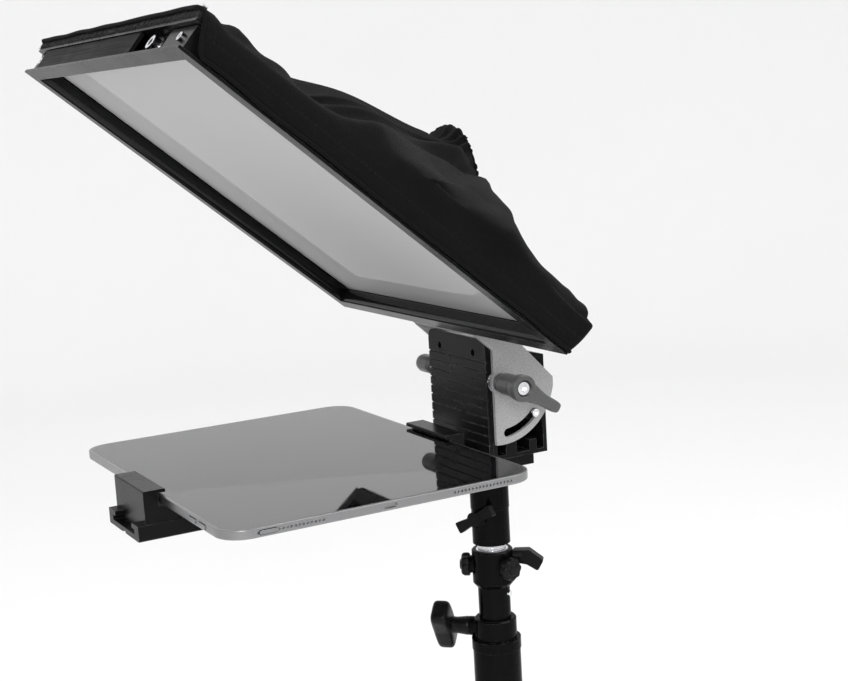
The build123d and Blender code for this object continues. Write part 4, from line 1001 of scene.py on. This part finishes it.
# profiles: distance along the axis, radius, and share of the lobes' depth
COLLAR_KNOB = (
    (0.0124, 0.0040, 0), (0.0166, 0.0040, 0), (0.0167, 0.0062, 0), (0.0172, 0.0083, 0.5),
    (0.0180, 0.0090, 1), (0.0212, 0.0090, 1), (0.0226, 0.0083, 1), (0.0233, 0.0069, 0.4),
    (0.0232, 0.0046, 0), (0.0236, 0.0040, 0), (0.0245, 0.0036, 0), (0.0246, 0.0020, 0),
)
T_STEM = (
    (0.0126, 0.0040, 0), (0.0200, 0.0040, 0), (0.0201, 0.0068, 0), (0.0215, 0.0072, 0),
    (0.0300, 0.0062, 0), (0.0360, 0.0066, 0), (0.0400, 0.0060, 0),
)
T_DIMPLE = ((0.0452, 0.0042, 0), (0.0478, 0.0042, 0), (0.0484, 0.0034, 0), (0.0484, 0.0010, 0))
T_BAR_OUT = 0.0404  # bar's middle beyond the thread's start
T_BAR_HALF = 0.0204
T_BAR_TWIST = math.radians(35)
T_BAR_WIDTHS = (0.0190, 0.0190, 0.0180, 0.0172, 0.0180, 0.0190, 0.0190)
T_BAR_HEIGHTS = (0.0130, 0.0142, 0.0150, 0.0152, 0.0150, 0.0142, 0.0130)
LEVER_DROP = math.radians(-33)
LEVER_WIDTHS = (0.0080, 0.0080, 0.0074, 0.0072, 0.0078, 0.0080)
LEVER_HEIGHTS = (0.0150, 0.0130, 0.0100, 0.0088, 0.0086, 0.0078)


def joint_line(name):
    """Position and unit axis of a hinge."""
    joint = JOINTS[name]
    return np.array(joint["pos_m"]), unit(np.array(joint["axis"], float))


def t_handle_piece():
    """T-handle: a stem turned about the stud and a bar that flares and squares towards both ends."""
    centre, axis = joint_line("t_handle_turn")
    side, up, forward = basis(axis)
    along_bar = up * math.cos(T_BAR_TWIST) + side * math.sin(T_BAR_TWIST)
    middle, half = centre + forward * T_BAR_OUT, along_bar * T_BAR_HALF
    across = np.cross(along_bar, forward)
    stem = turned("stem", centre, axis, T_STEM)
    bar = soft_bar("bar", middle - half, middle + half, across, T_BAR_WIDTHS, T_BAR_HEIGHTS, 0.42, 44, 48)
    return join("t_handle_grip", [stem, bar, turned("dimple", centre, axis, T_DIMPLE)])


def tilt_lever_piece():
    """Tilt lever: a waisted hub about the pivot with a cupped end, and an arm that tapers to a round tip."""
    centre = joint_line("tilt_lever_turn")[0]
    low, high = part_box("tilt_lever")
    root, tip = low.x, high.x
    hub_profile = (
        (root, 0.0062, 0), (root + 0.0006, 0.0068, 0), (root + 0.0030, 0.0064, 0), (root + 0.0062, 0.0072, 0),
        (root + 0.0074, 0.0077, 1), (tip - 0.0120, 0.0077, 1), (tip - 0.0100, 0.0074, 0),
        (tip - 0.0090, 0.0088, 0), (tip - 0.0050, 0.0096, 0), (tip - 0.0008, 0.0095, 0), (tip, 0.0088, 0),
        (tip, 0.0058, 0), (tip - 0.0046, 0.0054, 0), (tip - 0.0048, 0.0010, 0),
    )
    hub = turned("hub", (0, centre[1], centre[2]), RIGHT, hub_profile)
    reach = np.array([0, math.cos(LEVER_DROP), math.sin(LEVER_DROP)])
    base = np.array([tip - 0.0045, centre[1], centre[2]])
    start, end = base + reach * 0.0045, base + reach * 0.0348 + RIGHT * 0.0004
    arm = soft_bar("arm", start, end, RIGHT, LEVER_WIDTHS, LEVER_HEIGHTS, 0.6, 40, 40)
    return join("tilt_lever_grip", [hub, arm])


def tilt_knob_piece():
    """Plain knob on the pivot's left end, turned about the lever's axis."""
    centre = joint_line("tilt_lever_turn")[0]
    low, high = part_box("tilt_knob")
    inner, outer = -high.x, -low.x
    profile = (
        (inner, 0.0050, 0), (inner + 0.0004, 0.0054, 0), (inner + 0.0040, 0.0054, 0),
        (inner + 0.0046, 0.0066, 0.3), (inner + 0.0060, 0.0070, 1), (outer - 0.0040, 0.0070, 1),
        (outer - 0.0016, 0.0064, 0.6), (outer - 0.0004, 0.0050, 0), (outer, 0.0030, 0),
    )
    return turned("tilt_knob_grip", (0, centre[1], centre[2]), -RIGHT, profile)


class TELEPROMPTER_OT_knobs(Operator):
    """Build the moulded collar knobs, the T-handle, the tilt lever and the tilt knob"""

    bl_idname = "teleprompter.knobs"
    bl_label = "Knobs and levers"

    def execute(self, context):
        look = context.scene.teleprompter_finish
        black = hard_finish(
            "moulded_black", look.plastic, (0.26, 0.4), grain=0.0005, bump=0.2, edge=0.0004, dust=0.006,
            specular=0.09, coat=0.05,
        )
        grey = hard_finish("lever_grey", look.lever, (0.32, 0.46), grain=0.0004, bump=0.2, edge=0.0004)
        for knob in ("collar_knob_a", "collar_knob_b"):
            grip = turned(f"{knob}_grip", *joint_line(f"{knob}_turn"), COLLAR_KNOB, 8, 0.0009, 120)
            finish_piece(grip, black, knob, "black_plastic", knob)
        finish_piece(t_handle_piece(), black, "t_handle", "black_plastic", "t_handle")
        finish_piece(tilt_lever_piece(), grey, "tilt_lever", "grey_plastic", "tilt_lever")
        finish_piece(tilt_knob_piece(), grey, "tilt_knob", "grey_plastic", "tilt_knob")
        return {"FINISHED"}


KNURL_FOOT, KNURL_TOP = 0.8046, 0.8092  # heights of the ring's two faces
KNURL_RADIUS = 0.0104
KNURL_RISE = 0.0004
KNURL_TURNS = 30  # half waves around the ring
KNURL_WIND = 900  # radians of turn for each metre of height


def knurl_ring():
    """Ring with a diamond knurl: its radius grows by the product of two waves that wind opposite ways,
    between two chamfered ends."""
    low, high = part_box("spigot")
    centre = np.array([0.0, (low.y + high.y) / 2, 0.0])
    walls = np.linspace(KNURL_FOOT + 0.0005, KNURL_TOP - 0.0004, 22)
    foot = KNURL_FOOT + np.array([0, 0, 0.0002])
    z = np.concatenate([foot, walls, KNURL_TOP - np.array([0.0001, 0, 0])])[:, None]
    edge = np.concatenate([[0.4, 0.93, 0.99], np.ones(22), [0.99, 0.93, 0.4]])[:, None]
    angle = np.arange(480) * TAU / 480
    turn, wind = KNURL_TURNS * angle[None], KNURL_WIND * z
    bite = np.abs(np.sin(turn + wind)) * np.abs(np.sin(turn - wind))
    r = KNURL_RADIUS * edge + KNURL_RISE * bite * (edge > 0.995)
    rings = centre + np.stack([r * np.cos(angle), r * np.sin(angle), z + 0 * r], -1)
    return closed_piece("spigot_knurl", rings)


class TELEPROMPTER_OT_knurl(Operator):
    """Build the bright knurled ring at the foot of the spigot"""

    bl_idname = "teleprompter.knurl"
    bl_label = "Knurled ring"

    def execute(self, context):
        steel = hard_finish(
            "knurled_steel", context.scene.teleprompter_finish.steel, (0.16, 0.3), metal=1.0, grain=0.0004,
            bump=0.1, edge=0.0002, dust=0.0,
        )
        finish_piece(knurl_ring(), steel, "riser", "bright_steel")
        return {"FINISHED"}


# ---------------------------------------------------------------- finishes of the machined pieces

# light grey for the edges: bare metal where worn, and on the anodised pieces a painted highlight
BARE_METAL_AND_PAINTED_HIGHLIGHT = (0.45, 0.45, 0.46)
DISPLAY_BORDER = 0.0075


def slot_finishes(look):
    """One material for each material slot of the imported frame."""
    low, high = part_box("tablet_screen")
    display_half = ((high.x - low.x) / 2 - DISPLAY_BORDER, (high.y - low.y) / 2 - DISPLAY_BORDER)
    return {
        "stand_black": hard_finish(
            "gloss_enamel", look.enamel, (0.12, 0.22), grain=0.0025, patch=0.08, bump=0.06, depth=0.0002,
            wear_and_painted_highlight=(BARE_METAL_AND_PAINTED_HIGHLIGHT, 0.25), edge=0.0004, coat=0.07, coat_rough=0.03, dust=0.003, specular=0.015,
        ),
        "black_plastic": hard_finish(
            "moulded_black_plain", look.plastic, (0.3, 0.42), grain=0.0005, bump=0.25, dust=0.006,
            specular=0.08,
        ),
        "bright_steel": hard_finish(
            "bright_steel", look.steel, (0.12, 0.26), metal=1.0, grain=0.0008, patch=0.01, bump=0.06,
            edge=0.0003, dust=0.0,
        ),
        "foot_rubber": hard_finish(
            "foot_rubber", (0.018, 0.018, 0.018), (0.7, 0.9), grain=0.0012, bump=0.4
        ),
        # its lighter edges are partly wear and partly a painted highlight along the groove edges, kept fairly even
        "black_anodised": hard_finish(
            "anodised_satin", look.anodised, (0.2, 0.3), grain=0.0004, patch=0.06, bump=0.08,
            wear_and_painted_highlight=(BARE_METAL_AND_PAINTED_HIGHLIGHT, 0.5), even=0.35, edge=0.0004, dust=0.006, specular=0.09,
        ),
        "satin_strip": hard_finish(
            "satin_strip", (0.007, 0.007, 0.0074), (0.3, 0.42), grain=0.0008, bump=0.1,
            lines=(20.0, 800.0, 800.0), edge=0.0004, dust=0.002, specular=0.012,
        ),
        "clamp_foam": hard_finish(
            "clamp_foam", (0.02, 0.02, 0.02), (0.85, 0.98), grain=0.0007, bump=0.8, depth=0.0002
        ),
        "grey_powder": hard_finish(
            "grey_powder", look.powder, (0.42, 0.55), grain=0.0009, patch=0.03, bump=0.5, depth=0.0001,
            shade=0.06, speckle=0.45, wear_and_painted_highlight=((0.5, 0.5, 0.5), 0.5), edge=0.0005, dust=0.03,
        ),
        "grey_plastic": hard_finish("lever_grey_plain", look.lever, (0.32, 0.46), grain=0.0004, bump=0.2),
        "splitter_glass": splitter_finish("splitter_glass", look.glass, 0.12, 0.03),
        "hood_cloth": hard_finish("hood_cloth_plain", look.cloth, (0.85, 0.95), grain=0.001, bump=0.4),
        "hook_pile": pile_finish("hook_pile_plain", look.pile),
        "tablet_metal": hard_finish(
            "blasted_aluminium", look.tablet, (0.28, 0.36), metal=1.0, grain=0.00025, bump=0.12, shade=0.05,
            edge=0.0004, dust=0.0,
        ),
        "tablet_glass": screen_finish(
            "cover_glass", (0.003, 0.003, 0.0034), (0.006, 0.006, 0.0068), display_half, (low + high) / 2
        ),
    }


class TELEPROMPTER_OT_finishes(Operator):
    """Give every machined piece the finish of its material slot"""

    bl_idname = "teleprompter.finishes"
    bl_label = "Finishes"

    def execute(self, context):
        finishes = slot_finishes(context.scene.teleprompter_finish)
        for name, piece in NODES.items():
            piece.data.materials.clear()
            piece.data.materials.append(finishes[SLOT_OF[name]])
        return {"FINISHED"}


# ---------------------------------------------------------------- stage

FLOOR_BEND = 1.5  # radius of the floor's turn upwards
FLOOR_WALL = 2.6  # height of its rim
# lights: place, what it faces, side, and share of the key light's power
LIGHTS = {
    "key": ((2.6, -1.4, 2.3), (0, 0, 0.9), 1.2, 1.0),
    "top": ((0.9, 1.4, 3.4), (0, 0, 1.0), 1.6, 0.7),
}


def floor_bowl(radius, columns=96):
    """Round floor that turns up at its rim: flat out to the radius, then a quarter circle and a low wall."""
    bend = np.linspace(0, math.pi / 2, 14)
    flat = np.linspace(0.02, radius, 12)[:-1]
    run = np.concatenate([[0.0], flat, radius + FLOOR_BEND * np.sin(bend), [radius + FLOOR_BEND]])
    rise = np.concatenate([np.zeros(len(flat) + 1), FLOOR_BEND * (1 - np.cos(bend)), [FLOOR_WALL]])
    angle = np.arange(columns) * TAU / columns
    rings = [np.outer(run, np.cos(angle)), np.outer(run, np.sin(angle)), np.outer(rise, np.ones(columns))]
    points = np.stack(rings, -1).reshape(-1, 3)
    return make_mesh("floor", points, grid_faces(len(run), columns, True))


def floor_paper():
    """Pale paper with a faint broad drift in its tone."""
    material, web, shader, where = new_material("floor_paper", (0.86, 0.86, 0.86))
    texture = placed(web, "fine_grain", Vector=where, Grain_Size=0.01, Patch_Size=1.2)
    web.put(shader, Base_Color=web.blend(texture["Patch"], (0.85, 0.85, 0.85, 1), (0.88, 0.88, 0.88, 1)))
    shader.inputs["Roughness"].default_value = 0.9
    shader.inputs["Specular IOR Level"].default_value = 0.1
    return material


def soft_light(scene, name, place, aim, size, power):
    """Square area light that faces its aim."""
    lamp = bpy.data.lights.new(name, "AREA")
    lamp.energy = power
    lamp.size = size
    light = bpy.data.objects.new(name, lamp)
    light.location = place
    light.rotation_euler = (Vector(aim) - Vector(place)).to_track_quat("-Z", "Y").to_euler()
    scene.collection.objects.link(light)


def stage_camera(s):
    """Camera at its place, turned by its azimuth and elevation and rolled about its own line of sight."""
    lens = bpy.data.cameras.new("camera")
    lens.sensor_width = 36.0
    lens.lens = s.lens
    lens.clip_start = 0.01
    camera = bpy.data.objects.new("camera", lens)
    level = math.cos(s.elevation)
    back = Vector((math.sin(s.azimuth) * level, -math.cos(s.azimuth) * level, math.sin(s.elevation)))
    right = Matrix.Rotation(-s.roll, 3, back) @ Vector((0, 0, 1)).cross(back).normalized()
    turn = Matrix((right, back.cross(right), back)).transposed()
    camera.matrix_world = Matrix.Translation(Vector(s.eye)) @ turn.to_4x4()
    return camera


class TELEPROMPTER_OT_stage(Operator):
    """Set up the floor, the soft lights, the surrounding white and the camera"""

    bl_idname = "teleprompter.stage"
    bl_label = "Stage"

    def execute(self, context):
        scene = context.scene
        s = scene.teleprompter_stage
        floor = floor_bowl(s.floor)
        floor.data.materials.append(floor_paper())
        for name, (place, aim, size, share) in LIGHTS.items():
            soft_light(scene, name, place, aim, size, s.key * share)
        scene.world = bpy.data.worlds.new("studio_white")
        scene.world.use_nodes = True
        surround = scene.world.node_tree.nodes["Background"]
        surround.inputs["Color"].default_value = (1.0, 1.0, 1.0, 1.0)
        surround.inputs["Strength"].default_value = s.sky
        scene.view_settings.view_transform = "Standard"
        scene.camera = stage_camera(s)
        scene.collection.objects.link(scene.camera)
        return {"FINISHED"}


class TELEPROMPTER_PT_panel(Panel):
    """Sidebar list of the pieces"""

    bl_label = "Teleprompter"
    bl_idname = "TELEPROMPTER_PT_panel"
    bl_space_type = "VIEW_3D"
    bl_region_type = "UI"
    bl_category = "Teleprompter"

    def draw(self, context):
        for name in STEPS:
            self.layout.operator(f"teleprompter.{name}")
        for group in GROUPS:
            settings = getattr(context.scene, group)
            for key in settings.__annotations__:
                self.layout.prop(settings, key)


STEPS = ("finishes", "hood", "rim", "lips", "knobs", "knurl", "stage")
GROUPS = {
    "teleprompter_hood": HoodSettings,
    "teleprompter_stage": StageSettings,
    "teleprompter_finish": FinishSettings,
}
CLASSES = (
    HoodSettings,
    StageSettings,
    FinishSettings,
    TELEPROMPTER_OT_finishes,
    TELEPROMPTER_OT_hood,
    TELEPROMPTER_OT_rim,
    TELEPROMPTER_OT_lips,
    TELEPROMPTER_OT_knobs,
    TELEPROMPTER_OT_knurl,
    TELEPROMPTER_OT_stage,
    TELEPROMPTER_PT_panel,
)


def register():
    for one in CLASSES:
        bpy.utils.register_class(one)
    for name, kind in GROUPS.items():
        setattr(bpy.types.Scene, name, PointerProperty(type=kind))


def unregister():
    for name in GROUPS:
        delattr(bpy.types.Scene, name)
    for one in reversed(CLASSES):
        bpy.utils.unregister_class(one)


def main():
    """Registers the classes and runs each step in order."""
    register()
    for name in STEPS:
        getattr(bpy.ops.teleprompter, name)()


if __name__ == "__main__":
    main()
